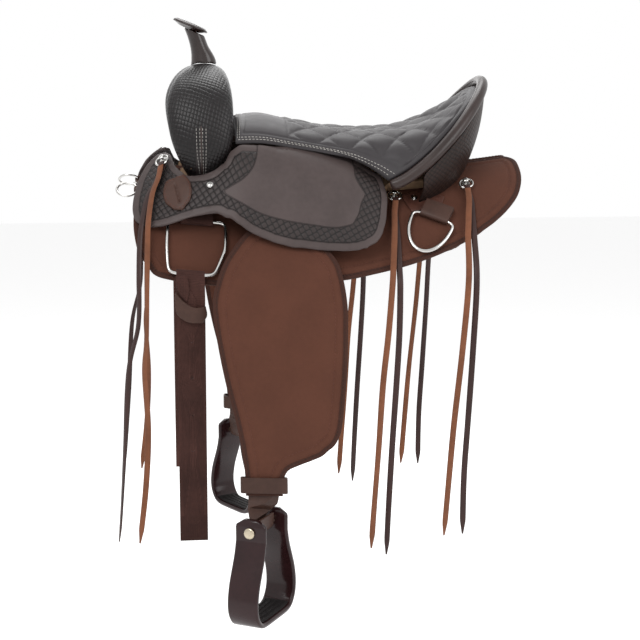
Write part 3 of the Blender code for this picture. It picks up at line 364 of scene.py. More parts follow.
# %% Chequered weave: humps along and across by turns
def make_weave():
    tree, given, result = group(
        "weave", [("Place", "NodeSocketVector", None), ("Pitch", "NodeSocketFloat", 0.006)],
        [("Height", "NodeSocketFloat")])
    parts = tree.nodes.new("ShaderNodeSeparateXYZ")
    tree.links.new(given.outputs["Place"], parts.inputs[0])
    pitch = Flow(tree, given.outputs["Pitch"])
    u = Flow(tree, parts.outputs["X"]) / pitch
    v = Flow(tree, parts.outputs["Y"]) / pitch
    odd = (u.math("FLOOR") + v.math("FLOOR")).math("FLOORED_MODULO", 2)
    across_u = (u.math("FRACT") - 0.5).math("ABSOLUTE") * 2
    across_v = (v.math("FRACT") - 0.5).math("ABSOLUTE") * 2

    def strand(over, along):
        """High in the middle of its width, and dipping under at both ends."""
        round_top = (over * over * -1 + 1).math("MAXIMUM", 0).math("SQRT")
        return round_top * (along * along * along * -0.55 + 1)

    lying, standing = strand(across_v, across_u), strand(across_u, across_v)
    (lying + odd * (standing - lying)).into(result.inputs["Height"])
    return tree


GRAIN = make_grain()
WEAVE = make_weave()
print("node groups", [g.name for g in bpy.data.node_groups])

# %% [markdown]
# ## Finishes
#
# A finish is one material: a colour that darkens and lightens with the grain, a roughness
# that changes with it, and a bump. The low parts of a weave, a stamped band and tooled grooves
# are painted darker, as painted shade. Woven finishes read a "flat" vector stored on the mesh,
# which is where each point would lie if the piece were spread on a table. "inside" is the
# distance in from the panel's edge and "field" the distance into the smooth part of a tooled
# piece, so bindings, borders and grooves follow the outline by themselves.

# %% The finish maker
BUMP_DEPTH = 0.0006


def attribute(tree, name, output="Fac"):
    made = tree.nodes.new("ShaderNodeAttribute")
    made.attribute_name = name
    return made.outputs[output]


def shared(tree, effect, label, value, place):
    """A shared node group in a material, with its one size and its place."""
    made = tree.nodes.new("ShaderNodeGroup")
    made.node_tree = effect
    made.inputs[label].default_value = value
    tree.links.new(place, made.inputs["Place"])
    return made


def finish(name, colour, roughness, metallic=0.0, pebbles=700.0, grain=0.25, spread=0.22,
           sheen=0.0, shine=0.25, weave=None, weave_mask=None, edge=None,
           lines=None):
    """A material. weave is (pitch, height, turn). weave_mask and lines are functions that take
    the tree and give a Flow, and edge is (width, colour) of a bound rim."""
    made = bpy.data.materials.new(name)
    made.use_nodes = True
    tree = made.node_tree
    shader = tree.nodes["Principled BSDF"]
    shader.inputs["Metallic"].default_value = metallic
    shader.inputs["Specular IOR Level"].default_value = 0.5 if metallic else shine
    shader.inputs["Sheen Weight"].default_value = sheen
    shader.inputs["Sheen Roughness"].default_value = 0.6
    place = tree.nodes.new("ShaderNodeTexCoord").outputs["Object"]
    pebbled = shared(tree, GRAIN, "Pebbles", pebbles, place)
    mottle = Flow(tree, pebbled.outputs["Mottle"])
    height = Flow(tree, pebbled.outputs["Height"]) * grain
    shade = mottle * (2 * spread) + (1 - spread)
    rough = mottle * 0.12 + (roughness - 0.06)
    if weave:
        pitch, tall, turn = weave
        turned = tree.nodes.new("ShaderNodeVectorRotate")
        turned.rotation_type = "Z_AXIS"
        turned.inputs["Angle"].default_value = turn
        tree.links.new(attribute(tree, "flat", "Vector"), turned.inputs["Vector"])
        woven = shared(tree, WEAVE, "Pitch", pitch, turned.outputs["Vector"])
        relief = Flow(tree, woven.outputs["Height"])
        mask = weave_mask(tree) if weave_mask else None
        hollow = relief.step(0.35, 0.9)
        # painted shade: the weave's low parts are painted darker, and inside a mask the whole
        # stamped band is painted darker too
        if mask:
            height = height * (mask * -0.6 + 1) + relief * mask * tall
            shade = shade * (mask * (hollow * 0.36 - 0.86) + 1)
        else:
            height = height + relief * tall
            shade = shade * (hollow * 0.3 + 0.7)
    if lines:
        groove = lines(tree)
        height = height - groove * 1.2
        # painted shade: the grooves are painted darker
        shade = shade * (groove * -0.55 + 1)
    tint = tree.nodes.new("ShaderNodeMix")
    tint.data_type = "RGBA"
    tint.inputs["A"].default_value = (*colour, 1)
    tint.inputs["B"].default_value = (*colour, 1)
    if edge:
        width, rim_colour = edge
        bound = Flow(tree, attribute(tree, "inside")).step(width + 0.0006, width)
        tint.inputs["B"].default_value = (*rim_colour, 1)
        bound.into(tint.inputs["Factor"])
    scaled = tree.nodes.new("ShaderNodeVectorMath")
    scaled.operation = "SCALE"
    tree.links.new(tint.outputs["Result"], scaled.inputs[0])
    shade.into(scaled.inputs["Scale"])
    tree.links.new(scaled.outputs["Vector"], shader.inputs["Base Color"])
    rough.into(shader.inputs["Roughness"])
    bump = tree.nodes.new("ShaderNodeBump")
    bump.inputs["Distance"].default_value = BUMP_DEPTH
    bump.inputs["Strength"].default_value = 0.9
    height.into(bump.inputs["Height"])
    tree.links.new(bump.outputs["Normal"], shader.inputs["Normal"])
    return made


# %% Masks for the tooled pieces
RIM = 0.0105  # plain edge of a jockey


def tooled_area(tree):
    """1 where the jockey is stamped: inside its rim and outside its smooth centre."""
    inside = Flow(tree, attribute(tree, "inside"))
    field = Flow(tree, attribute(tree, "field"))
    return inside.step(RIM, RIM + 0.0006) * field.step(0.0008, 0.0)


def tooled_lines(tree):
    """1 in the grooves on both sides of the stamped band."""
    inside = Flow(tree, attribute(tree, "inside"))
    field = Flow(tree, attribute(tree, "field"))
    rim = (inside - RIM).math("ABSOLUTE").step(0.0013, 0.0004) * field.step(0.004, 0.0)
    centre = (field - 0.001).math("ABSOLUTE").step(0.0013, 0.0004)
    return rim.math("MAXIMUM", centre)


def off_the_seam(tree):
    """1 away from the fork's seam."""
    return Flow(tree, attribute(tree, "field")).step(0.0, 0.0008)


FINISHES = {
    "jockey": finish("jockey_leather", (0.064, 0.048, 0.046), 0.46, grain=0.12, spread=0.14,
                     weave=(0.0080, 1.9, 0.5), weave_mask=tooled_area, lines=tooled_lines),
    "fork": finish("fork_leather", (0.015, 0.0105, 0.011), 0.36, grain=0.12, shine=0.32,
                   weave=(0.0056, 1.2, 0.3), weave_mask=off_the_seam),
    "cantle": finish("cantle_leather", (0.046, 0.024, 0.019), 0.45, grain=0.12,
                     weave=(0.0060, 1.0, 0.5), weave_mask=off_the_seam),
    "horn": finish("horn_leather", (0.020, 0.011, 0.0095), 0.26, grain=0.25, shine=0.5,
                   pebbles=420),
    "roll": finish("roll_leather", (0.026, 0.015, 0.013), 0.34, grain=0.20, shine=0.4),
    "seat": finish("seat_leather", (0.036, 0.032, 0.034), 0.47, pebbles=900, grain=0.22,
                   spread=0.10, shine=0.3),
    "strap": finish("strap_leather", (0.052, 0.025, 0.018), 0.46, grain=0.30),
    "patch": finish("patch_leather", (0.082, 0.031, 0.021), 0.50, grain=0.25),
    "grain_side": finish("string_grain", (0.036, 0.017, 0.015), 0.42, grain=0.25),
    "flesh_side": finish("string_suede", (0.175, 0.066, 0.033), 0.80, pebbles=1500,
                         grain=0.35, sheen=0.1, shine=0.1),
    "fabric": finish("skirt_fabric", (0.108, 0.043, 0.028), 0.82, pebbles=2600, grain=0.10,
                     spread=0.08, sheen=0.03, shine=0.06, weave=(0.0011, 0.30, 0.0),
                     edge=(0.0075, (0.062, 0.028, 0.021))),
    "webbing": finish("webbing", (0.060, 0.026, 0.021), 0.70, pebbles=2600, grain=0.12,
                      sheen=0.03, shine=0.08, weave=(0.0024, 0.9, 0.0)),
    "fleece": finish("fleece", (0.070, 0.034, 0.024), 0.95, pebbles=420, grain=1.0,
                     spread=0.35, sheen=0.1, shine=0.05),
    "resin": finish("stirrup_resin", (0.022, 0.008, 0.0085), 0.16, pebbles=300, grain=0.03,
                    spread=0.20, shine=0.3),
    "rubber": finish("tread_rubber", (0.010, 0.008, 0.008), 0.75, pebbles=900, grain=0.5),
    "steel": finish("steel", (0.60, 0.59, 0.57), 0.20, metallic=1.0, pebbles=300, grain=0.05,
                    spread=0.12),
    "bolt": finish("bolt_metal", (0.55, 0.48, 0.36), 0.28, metallic=1.0, grain=0.05,
                   spread=0.18),
    "thread": finish("pale_thread", (0.42, 0.40, 0.37), 0.7, pebbles=2600, grain=0.3),
    "dark_thread": finish("dark_thread", (0.026, 0.013, 0.010), 0.7, pebbles=2600, grain=0.3),
    "brown_thread": finish("brown_thread", (0.10, 0.036, 0.024), 0.7, pebbles=2600, grain=0.3),
    "wood": finish("tree_wood", (0.24, 0.15, 0.09), 0.65, pebbles=200, grain=0.4),
    "ground": finish("ground_leather", (0.030, 0.019, 0.015), 0.7, grain=0.4),
}
print("finishes", len(FINISHES))

# %% [markdown]
# ## Making pieces
#
# Every dressed piece rides on the body of the node that it stands for. Three kinds of copy
# cover most of the saddle. A laid panel is a flat outline filled with small triangles, laid on
# the smooth side and thickened. A smoothed copy keeps a node's own shape and rounds it by
# subdivision. A swept band follows a path.

# %% Adding a piece
NODE_BODY = {node: obj["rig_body"] for node, obj in frame["nodes"].items()}


def add_piece(name, mesh, finish_name, node, replaces=True):
    """An object that rides with a node, and stands for it unless it is trim."""
    obj = bpy.data.objects.new(name, mesh)
    shown(obj)
    mesh.materials.clear()
    mesh.materials.append(FINISHES[finish_name])
    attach(obj, NODE_BODY[node])
    if replaces:
        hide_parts(node)
    return obj


def mesh_of(name, vertices, faces, smooth=60):
    mesh = bpy.data.meshes.new(name)
    mesh.from_pydata([tuple(v) for v in vertices], [], [tuple(f) for f in faces])
    bm = bmesh.new()
    bm.from_mesh(mesh)
    bmesh.ops.recalc_face_normals(bm, faces=bm.faces[:])
    bm.to_mesh(mesh)
    bm.free()
    mesh.shade_smooth()
    mesh.set_sharp_from_angle(angle=math.radians(smooth))
    return mesh


def store(mesh, name, values):
    """Keeps a number or a vector on each vertex."""
    values = np.asarray(values, np.float32)
    kind = "FLOAT" if values.ndim == 1 else "FLOAT_VECTOR"
    made = mesh.attributes.new(name, kind, "POINT")
    made.data.foreach_set("value" if values.ndim == 1 else "vector", values.ravel())


# %% A node's mesh with its corners joined and its triangles paired
def joined_copy(node, pair=True):
    bm = bmesh.new()
    bm.from_mesh(frame["nodes"][node].data)
    bmesh.ops.remove_doubles(bm, verts=bm.verts[:], dist=0.00001)
    if pair:
        bmesh.ops.join_triangles(bm, faces=bm.faces[:], cmp_seam=False, cmp_sharp=False,
                                 cmp_uvs=False, cmp_vcols=False, cmp_materials=False,
                                 angle_face_threshold=math.radians(20),
                                 angle_shape_threshold=math.radians(60))
    return bm


def smoothed(node, finish_name, bevel=0.0, fatten=0.0, limit=65):
    """A rounded copy of a node. fatten makes up for what subdivision takes off a thin wire."""
    bm = joined_copy(node)
    if fatten:
        bm.normal_update()
        for vertex in bm.verts:
            vertex.co += vertex.normal * fatten
    mesh = bpy.data.meshes.new(node + "_dressed")
    bm.to_mesh(mesh)
    bm.free()
    mesh.shade_smooth()
    obj = add_piece(node + "_dressed", mesh, finish_name, node)
    if bevel:
        rounding = obj.modifiers.new("rounding", "BEVEL")
        rounding.width = bevel
        rounding.segments = 2
        rounding.limit_method = "ANGLE"
        rounding.angle_limit = math.radians(limit)
    subdivision = obj.modifiers.new("subdivision", "SUBSURF")
    subdivision.levels = subdivision.render_levels = 2
    return obj


# %% The outline of a panel, read from its node
def outer_loop(node, side):
    """x, s and n along the edge of a panel's outer face."""
    bm = joined_copy(node, pair=False)
    bm.normal_update()
    outer = {}  # in the order of the faces, so that each run starts at the same place
    for face in bm.faces:
        s = read_back([face.calc_center_median()])[0][1]
        if face.normal.dot(outward(side, s)) > 0.6:
            outer[face] = True
    ring = {}
    for face in outer:
        for edge in face.edges:
            if sum(other in outer for other in edge.link_faces) == 1:
                a, b = edge.verts
                ring.setdefault(a, []).append(b)
                ring.setdefault(b, []).append(a)
    start = next(iter(ring))
    loop, before, here = [start], None, start
    while True:
        after = next(v for v in ring[here] if v is not before)
        if after is start:
            break
        loop.append(after)
        before, here = here, after
    places = read_back([v.co for v in loop])
    bm.free()
    return places


def without_straights(points):
    """Drops the points that lie in the middle of a straight run."""
    kept = []
    for i, here in enumerate(points):
        before, after = points[i - 1], points[(i + 1) % len(points)]
        a, b = here - before, after - here
        turn = abs(a[0] * b[1] - a[1] * b[0]) / (np.linalg.norm(a) * np.linalg.norm(b))
        if turn > math.sin(math.radians(1.2)):
            kept.append(here)
    return np.array(kept)


def curve_through(points, spacing, closed=True, corner=42):
    """A smooth line through points, except at its sharp corners, in even steps."""
    points = np.asarray(points, float)
    count = len(points)
    runs = np.linalg.norm(np.roll(points, -1, 0) - points, axis=1)
    tangents = []
    for i in range(count):
        a = (points[i] - points[i - 1]) / runs[i - 1]
        b = (points[(i + 1) % count] - points[i]) / runs[i]
        sharp = a @ b < math.cos(math.radians(corner)) or (not closed and i in (0, count - 1))
        smooth = (a * runs[i] + b * runs[i - 1]) / (runs[i] + runs[i - 1])
        tangents.append((a if i or closed else b, b) if sharp else (smooth, smooth))
    line = []
    for i in range(count if closed else count - 1):
        j = (i + 1) % count
        pieces = max(1, round(runs[i] / spacing))
        for t in np.arange(pieces) / pieces:
            h = (2 * t ** 3 - 3 * t ** 2 + 1, t ** 3 - 2 * t ** 2 + t,
                 -2 * t ** 3 + 3 * t ** 2, t ** 3 - t ** 2)
            line.append(points[i] * h[0] + tangents[i][1] * h[1] * runs[i]
                        + points[j] * h[2] + tangents[j][0] * h[3] * runs[i])
    if not closed:
        line.append(points[-1])
    return np.array(line)


# %% Distances in the flat
def distance_to(loop, points):
    """How far each point is from a closed line, positive inside it."""
    nearest = np.full(len(points), 9.0)
    crossings = np.zeros(len(points), bool)
    for a, b in zip(loop, np.roll(loop, -1, 0)):
        run = b - a
        t = np.clip(((points - a) @ run) / max(run @ run, 1e-12), 0, 1)
        nearest = np.minimum(nearest, np.linalg.norm(points - a - t[:, None] * run, axis=1))
        spans = (a[1] > points[:, 1]) != (b[1] > points[:, 1])
        if abs(run[1]) > 1e-12:
            crossings ^= spans & (points[:, 0] < a[0] + (points[:, 1] - a[1]) * run[0] / run[1])
    return np.where(crossings, nearest, -nearest)


# %% Laying a panel
class Panel:
    """A flat piece with its outline, its small triangles and its place on the side."""

    def __init__(self, node, side, spacing=0.004, corner=42, extra=(), outline=None):
        self.side = side
        self.level = None
        if outline is None:
            loop = outer_loop(node, side)
            self.level = float(np.median(loop[:, 2]))
            outline = without_straights(loop[:, :2])
        self.outline = curve_through(outline, 0.003, corner=corner)
        low, high = self.outline.min(0), self.outline.max(0)
        xs = np.arange(low[0], high[0], spacing)
        rows = np.arange(low[1], high[1], spacing * 0.866)
        grid = np.array([(x + (spacing / 2 if i % 2 else 0), s)
                         for i, s in enumerate(rows) for x in xs])
        grid = grid[distance_to(self.outline, grid) > 0.6 * spacing]
        ahead = np.roll(self.outline, -1, 0) - np.roll(self.outline, 1, 0)
        square = np.stack([-ahead[:, 1], ahead[:, 0]], 1)
        square /= np.linalg.norm(square, axis=1)[:, None]
        bands = []
        for depth in (0.0005, 0.0016, *extra):
            for way in (-1, 1):
                ring = self.outline + square * depth * way
                bands.append(ring[distance_to(self.outline, ring) > 0.8 * depth])
        points = np.vstack([self.outline, *bands, grid])
        found = delaunay_2d_cdt([Vector(p) for p in points], [],
                                [list(range(len(self.outline)))], 1, 1e-7)
        self.flat = np.array([tuple(v) for v in found[0]])
        self.faces = [tuple(f) for f in found[2]]
        self.inside = np.maximum(0, distance_to(self.outline, self.flat))
        used = {}
        for face in self.faces:
            for a, b in zip(face, face[1:] + face[:1]):
                used[(a, b)] = True
        self.rim = [(a, b) for a, b in used if (b, a) not in used]

    def lay(self, height, thickness, rounding=0.0015, under=0.0):
        """The top and underside as places. height and under are numbers or one per point."""
        x, s = self.flat[:, 0], self.flat[:, 1]
        shy = np.clip(rounding - self.inside, 0, rounding)
        drop = rounding - np.sqrt(rounding ** 2 - shy ** 2)
        self.top_n = height - drop
        self.top = lay(self.side, x, s, self.top_n)
        self.bottom = lay(self.side, x, s, height - thickness + 0.5 * drop + under)

    def mesh(self, name):
        count = len(self.flat)
        faces = list(self.faces) + [tuple(i + count for i in face[::-1]) for face in self.faces]
        faces += [(a, b, b + count, a + count) for a, b in self.rim]
        made = mesh_of(name, np.vstack([self.top, self.bottom]), faces)
        twice = np.concatenate([self.inside, self.inside])
        flats = np.column_stack([np.vstack([self.flat, self.flat]), np.zeros(2 * count)])
        store(made, "inside", twice)
        store(made, "flat", flats)
        return made

    def contour(self, depth):
        """Lines on the top at one distance in from the edge, as lists of places."""
        crossing, links = {}, {}
        for face in self.faces:
            cut = []
            for a, b in zip(face, face[1:] + face[:1]):
                low, high = self.inside[a] - depth, self.inside[b] - depth
                if (low > 0) != (high > 0):
                    key = (min(a, b), max(a, b))
                    t = low / (low - high)
                    crossing[key] = self.top[a] * (1 - t) + self.top[b] * t
                    cut.append(key)
            if len(cut) == 2:
                links.setdefault(cut[0], []).append(cut[1])
                links.setdefault(cut[1], []).append(cut[0])
        lines, left = [], set(links)
        while left:
            here = next((k for k in left if len(links[k]) == 1), None) or min(left)
            line = [here]
            left.discard(here)
            while True:
                after = next((k for k in links[line[-1]] if k in left), None)
                if after is None:
                    break
                line.append(after)
                left.discard(after)
            if len(line) > 8:
                closed = line[0] in links[line[-1]]
                places = [crossing[k] for k in line]
                lines.append(np.array(places + places[:1] if closed else places))
        return lines


def dressed(node, panel, finish_name):
    return add_piece(node + "_dressed", panel.mesh(node + "_dressed"), finish_name, node)


def even_steps(line, spacing):
    """Points at even steps along a line of places."""
    line = np.asarray(line, float)
    run = np.concatenate([[0], np.cumsum(np.linalg.norm(np.diff(line, axis=0), axis=1))])
    at = np.arange(0, run[-1], spacing)
    return np.stack([np.interp(at, run, line[:, k]) for k in range(3)], 1)


# %% Stitches
def stitches(name, lines, out_of, node, thread="dark_thread", length=0.0042, gap=0.0014,
             radius=0.0005):
    """A row of short threads along each line. out_of gives the way out at a place."""
    vertices, faces = [], []
    for line in lines:
        points = even_steps(line, length + gap)
        for a, b in zip(points, points[1:]):
            a, b = Vector(a), Vector(b)
            ahead = (b - a).normalized()
            out = out_of(a)
            over = ahead.cross(out).normalized()
            b = a + (b - a) * (length / (length + gap))
            first = len(vertices)
            vertices.append(a - out * radius * 0.6)
            for t, wide in ((0.12, 0.75), (0.5, 1.0), (0.88, 0.75)):
                centre = a.lerp(b, t) + out * radius * (0.35 if t == 0.5 else 0.0)
                for turn in range(5):
                    angle = 2 * math.pi * turn / 5
                    vertices.append(centre + (over * math.cos(angle) + out * math.sin(angle))
                                    * radius * wide)
            vertices.append(b - out * radius * 0.6)
            for turn in range(5):
                after = (turn + 1) % 5
                faces.append((first, first + 1 + turn, first + 1 + after))
                for ring in (1, 6):
                    faces.append((first + ring + turn, first + ring + 5 + turn,
                                  first + ring + 5 + after, first + ring + after))
                faces.append((first + 11 + turn, first + 16, first + 11 + after))
    mesh = mesh_of(name, vertices, faces)
    return add_piece(name, mesh, thread, node, replaces=False)


def side_out(side):
    """The way out of a side at a place, for stitches."""
    def out(place):
        return outward(side, read_back([place])[0][1])
    return out


# %% [markdown]
# ## Skirts, fenders and their bound edges
#
# The skirts and the fenders are coarse woven fabric over felt. Each has a leather binding
# turned over its edge and stitched, and a second stitch line that draws the fabric down about
# 20 mm further in, so the fabric puffs a little between the two. The height of each point
# follows from its distance to the edge.

# %% Heights of a bound and quilted edge
BINDING = 0.0075
QUILT_LINE = 0.0195
RIDGE, PUFF = 0.0008, 0.0013
PUFF_START = 0.0095


def bound_edge(panel, height):
    """The height with a raised binding, a valley beside it and a quilted line."""
    t = panel.inside
    raised = RIDGE * (1 - eased((t - BINDING + 0.0006) / 0.0012))
    valley = 0.0006 * np.exp(-((t - BINDING - 0.0010) / 0.0010) ** 2)
    across = np.clip((t - PUFF_START) / (QUILT_LINE - PUFF_START), 0, 1)
    swell = PUFF * np.sin(math.pi * across)
    drawn = 0.0007 * np.exp(-((t - QUILT_LINE) / 0.0016) ** 2)
    wave = 0.0003 * np.sin(panel.flat[:, 0] * 61 + panel.flat[:, 1] * 43)
    return height + raised + swell - valley - drawn + wave * (t > 0.022)


def fabric_panel(node, side, thickness):
    panel = Panel(node, side, corner=60, extra=(BINDING - 0.0006, BINDING + 0.001, QUILT_LINE))
    panel.lay(bound_edge(panel, panel.level - 0.0004), thickness, rounding=0.0022)
    dressed(node, panel, "fabric")
    out = side_out(side)
    stitches(node + "_binding_stitches", panel.contour(0.0052), out, node, "dark_thread")
    stitches(node + "_quilt_stitches", panel.contour(QUILT_LINE), out, node, "brown_thread",
             radius=0.0006)
    print(node, "points", len(panel.flat), "level", round(panel.level * 1000, 1), "mm")


for word, side in SIDES.items():
    fabric_panel(f"skirt_{word}", side, 0.0055)
    fabric_panel(f"fender_{word}", side, 0.0042)

# %% [markdown]
# ## Fleece lining
#
# The skirts rest on the horse through fleece. Only its edge and its underside show. It is the
# same kind of panel, with a lumpy underside: two sizes of bump, made from sums of waves with
# seeded directions, and a furry bump on top of them.

# %% Lining
def lumps(flat, sizes, seed):
    """A bumpy height over the flat, from waves in seeded directions."""
    made = np.zeros(len(flat))
    turns = np.random.default_rng(seed).uniform(0, 2 * math.pi, (len(sizes), 5, 2))
    for (pitch, tall), waves in zip(sizes, turns):
        for angle, phase in waves:
            run = flat[:, 0] * math.cos(angle) + flat[:, 1] * math.sin(angle)
            made += tall / 5 * np.sin(2 * math.pi * run / pitch + phase)
    return made


for word, side in SIDES.items():
    node = f"skirt_lining_{word}"
    panel = Panel(node, side, corner=60)
    tufts = lumps(panel.flat, [(0.021, 0.0022), (0.009, 0.0016)], 11)
    panel.lay(panel.level - 0.0002, 0.0105, rounding=0.003, under=-np.abs(tufts) + 0.0003)
    dressed(node, panel, "fleece")
    print(node, "points", len(panel.flat))

# %% [markdown]
# ## Seat jockeys
#
# A jockey is stiff leather that fairs the seat into the skirts. Its rim is plain, a band is
# stamped with basket weave, and the middle is smooth where the rider's leg rubs. It rises to
# the seat, so its height is read off the working model and then smoothed.

# %% Jockeys
# the smooth centre's outline as the camera sees it, in hundredths of the picture's side
JOCKEY_CENTRE = [(40.0, 21.0), (40.1, 22.9), (40.0, 24.3), (39.4, 26.1), (38.0, 27.7),
                 (36.0, 28.9), (34.4, 29.9), (36.0, 30.8), (38.0, 31.9), (40.4, 33.3),
                 (44.0, 34.4), (49.0, 35.2), (53.0, 35.6), (55.2, 35.1), (56.2, 33.3),
                 (56.5, 31.9), (57.3, 30.3), (56.5, 29.1), (55.7, 27.7), (55.5, 26.1),
                 (55.4, 24.0), (50.0, 21.5)]
# the top edge is carried this far under the seat, from an x on and above an s
TUCK, TUCK_X, TUCK_RUN, TUCK_S = 0.018, -0.10, 0.07, 0.120


def cast_tree(node):
    bm = joined_copy(node, pair=False)
    tree = BVHTree.FromBMesh(bm)
    bm.free()
    return tree


def seen_on(node, outline):
    """Where the camera's lines of sight through the outline meet a node, as x and s."""
    tree = cast_tree(node)
    turn = camera.rotation_euler.to_matrix()
    reach = camera_data.sensor_width / camera_data.lens
    found = []
    for across, down in outline:
        ahead = turn @ Vector(((across / 100 - 0.5) * reach, (0.5 - down / 100) * reach, -1))
        hit = tree.ray_cast(camera.location, ahead.normalized())[0]
        if hit:
            found.append(read_back([hit])[0][:2])
    return np.array(found)


def heights_on(node, side, flat):
    """How high the outer face of a node lies at each x and s."""
    tree = cast_tree(node)
    above = lay(side, flat[:, 0], flat[:, 1], np.full(len(flat), 0.13))
    found = []
    for place, (x, s) in zip(above, flat):
        hit = tree.ray_cast(Vector(place), -outward(side, s))[0]
        hit = hit or tree.find_nearest(Vector(lay(side, x, s, 0.04)))[0]
        found.append(hit)
    return read_back(found)[:, 2]


def evened(panel, values, times):
    """Each value drawn towards the mean of its neighbours, several times."""
    pairs = {(min(a, b), max(a, b)) for face in panel.faces
             for a, b in zip(face, face[1:] + face[:1])}
    first, second = np.array(sorted(pairs)).T
    count = (np.bincount(first, minlength=len(values))
             + np.bincount(second, minlength=len(values)))
    for _ in range(times):
        total = (np.bincount(first, values[second], len(values))
                 + np.bincount(second, values[first], len(values)))
        values = 0.4 * values + 0.6 * total / np.maximum(count, 1)
    return values


seen = seen_on("jockey_left", JOCKEY_CENTRE)
first, last = seen[0] - (0.001, 0.055), seen[-1] - (0, 0.055)
smooth_centre = curve_through(np.vstack([first, seen, last]), 0.004)
print("smooth centre", len(seen), "of", len(JOCKEY_CENTRE), "points met the jockey")
for word, side in SIDES.items():
    node = f"jockey_{word}"
    edge = without_straights(outer_loop(node, side)[:, :2])
    under_seat = (edge[:, 1] < TUCK_S) & (edge[:, 0] > TUCK_X)
    edge[:, 1] -= TUCK * under_seat * eased((edge[:, 0] - TUCK_X) / TUCK_RUN)
    panel = Panel(node, side, corner=50, extra=(RIM - 0.0007, RIM + 0.0012), outline=edge)
    height = evened(panel, heights_on(node, side, panel.flat), 25)
    field = distance_to(smooth_centre, panel.flat)
    groove = 0.0004 * (np.exp(-((panel.inside - RIM) / 0.0010) ** 2)
                       + np.exp(-(field / 0.0012) ** 2))
    height = height - 0.0003 - groove + 0.0008 * eased(field / 0.012)
    panel.lay(height, 0.0038, rounding=0.0018)
    jockey = dressed(node, panel, "jockey")
    store(jockey.data, "field", np.concatenate([field, field]))
    print(node, "points", len(panel.flat), "highest", round(float(height.max()) * 1000), "mm")

# %% [markdown]
# ## Latigo carrier
#
# Below the horn on the rider's left is a rounded leather piece with a slit, which takes the
# end of the latigo. The slit is pressed into a finely divided panel, and a stitch line runs
# round its edge.

# %% Carrier with its slit
CARRIER_SLIT = (np.array([-0.240, 0.118]), np.array([-0.234, 0.145]))


def near_line(points, a, b):
    t = np.clip((points - a) @ (b - a) / ((b - a) @ (b - a)), 0, 1)
    return np.linalg.norm(points - a - t[:, None] * (b - a), axis=1)


node = "latigo_carrier"
panel = Panel(node, -1, spacing=0.0022, corner=60)
height = evened(panel, heights_on(node, -1, panel.flat), 10)
slit = near_line(panel.flat, *CARRIER_SLIT)
panel.lay(height - 0.0024 * (1 - eased((slit - 0.0009) / 0.0012)), 0.0029, rounding=0.001)
dressed(node, panel, "strap")
stitches(node + "_stitches", panel.contour(0.0028), side_out(-1), node, "brown_thread")
print(node, "points", len(panel.flat))

# %% [markdown]
# ## The seat
#
# The seat is a padded sheet of leather between a front edge, two side edges and the cantle's
# rim. Its surface is blended from those four curves, as in the working model but much finer.
# The rear part is quilted: two families of seams cross, and the padding stands up between
# them. The front is plain, and a smooth strip runs along each side below the quilting.

# %% Curves of the seat
def through(points, count):
    """Places at even steps along a smooth curve through the points."""
    p = np.array(points, float)
    p = np.vstack([2 * p[0] - p[1], p, 2 * p[-1] - p[-2]])
    t = np.linspace(0, 1, 16, endpoint=False)[:, None]
    dense = []
    for a, b, c, d in zip(p, p[1:], p[2:], p[3:]):
        dense.append(0.5 * (2 * b + (c - a) * t + (2 * a - 5 * b + 4 * c - d) * t ** 2
                            + (3 * b - a - 3 * c + d) * t ** 3))
    dense = np.vstack(dense + [p[-2:-1]])
    along = np.concatenate([[0], np.cumsum(np.linalg.norm(np.diff(dense, axis=0), axis=1))])
    at = np.linspace(0, along[-1], count)
    return np.stack([np.interp(at, along, dense[:, k]) for k in range(p.shape[1])], axis=1)


SEAT_CENTRE = through([(-0.142, 0, 0.104), (-0.10, 0, 0.107), (-0.065, 0, 0.097),
                       (-0.030, 0, 0.086), (0.016, 0, 0.075), (0.070, 0, 0.069),
                       (0.125, 0, 0.071), (0.170, 0, 0.084), (0.205, 0, 0.108),
                       (0.235, 0, 0.134), (0.258, 0, 0.155)], 300)
SEAT_EDGE = through([(-0.145, 0.130, 0.072), (-0.103, 0.131, 0.073), (-0.060, 0.132, 0.067),
                     (-0.014, 0.134, 0.060), (0.025, 0.137, 0.051), (0.064, 0.142, 0.032),
                     (0.092, 0.150, 0.012)], 300)
SEAT_NOSE = through([(-0.142, 0, 0.104), (-0.143, 0.05, 0.103), (-0.144, 0.10, 0.094),
                     (-0.145, 0.130, 0.072)], 300)
WING = np.array([0.092, 0.150, 0.012])
CANTLE_TOP = np.array([0.258, 0, 0.155])


def along_curve(curve, t):
    at = np.linspace(0, 1, len(curve))
    return np.stack([np.interp(t, at, curve[:, k]) for k in range(3)], -1)


def rim(w):
    """The cantle's rim, from its top at w = 0 to the wing's end at w = 1."""
    turn = math.pi / 2 * np.clip(w, 0, 1)
    c = np.maximum(0, np.cos(turn))
    return np.stack([WING[0] + (CANTLE_TOP[0] - WING[0]) * c, WING[1] * np.sin(turn),
                     WING[2] + (CANTLE_TOP[2] - WING[2]) * c ** 1.35], -1)


def seat_plain(u, v):
    """The seat without its padding, for arrays: u from front to rim, v from -1 to 1."""
    u, v = np.broadcast_arrays(np.asarray(u, float), np.asarray(v, float))
    w = np.abs(v)
    u1, w1 = u[..., None], w[..., None]
    flat = ((1 - u1) * (1 - w1) * SEAT_CENTRE[0] + (1 - u1) * w1 * SEAT_EDGE[0]
            + u1 * (1 - w1) * rim(0) + u1 * w1 * rim(1))
    place = ((1 - w1) * along_curve(SEAT_CENTRE, u) + w1 * along_curve(SEAT_EDGE, u)
             + (1 - u1) * along_curve(SEAT_NOSE, w) + u1 * rim(w) - flat)
    place[..., 1] *= np.where(v < 0, -1, 1)
    return place


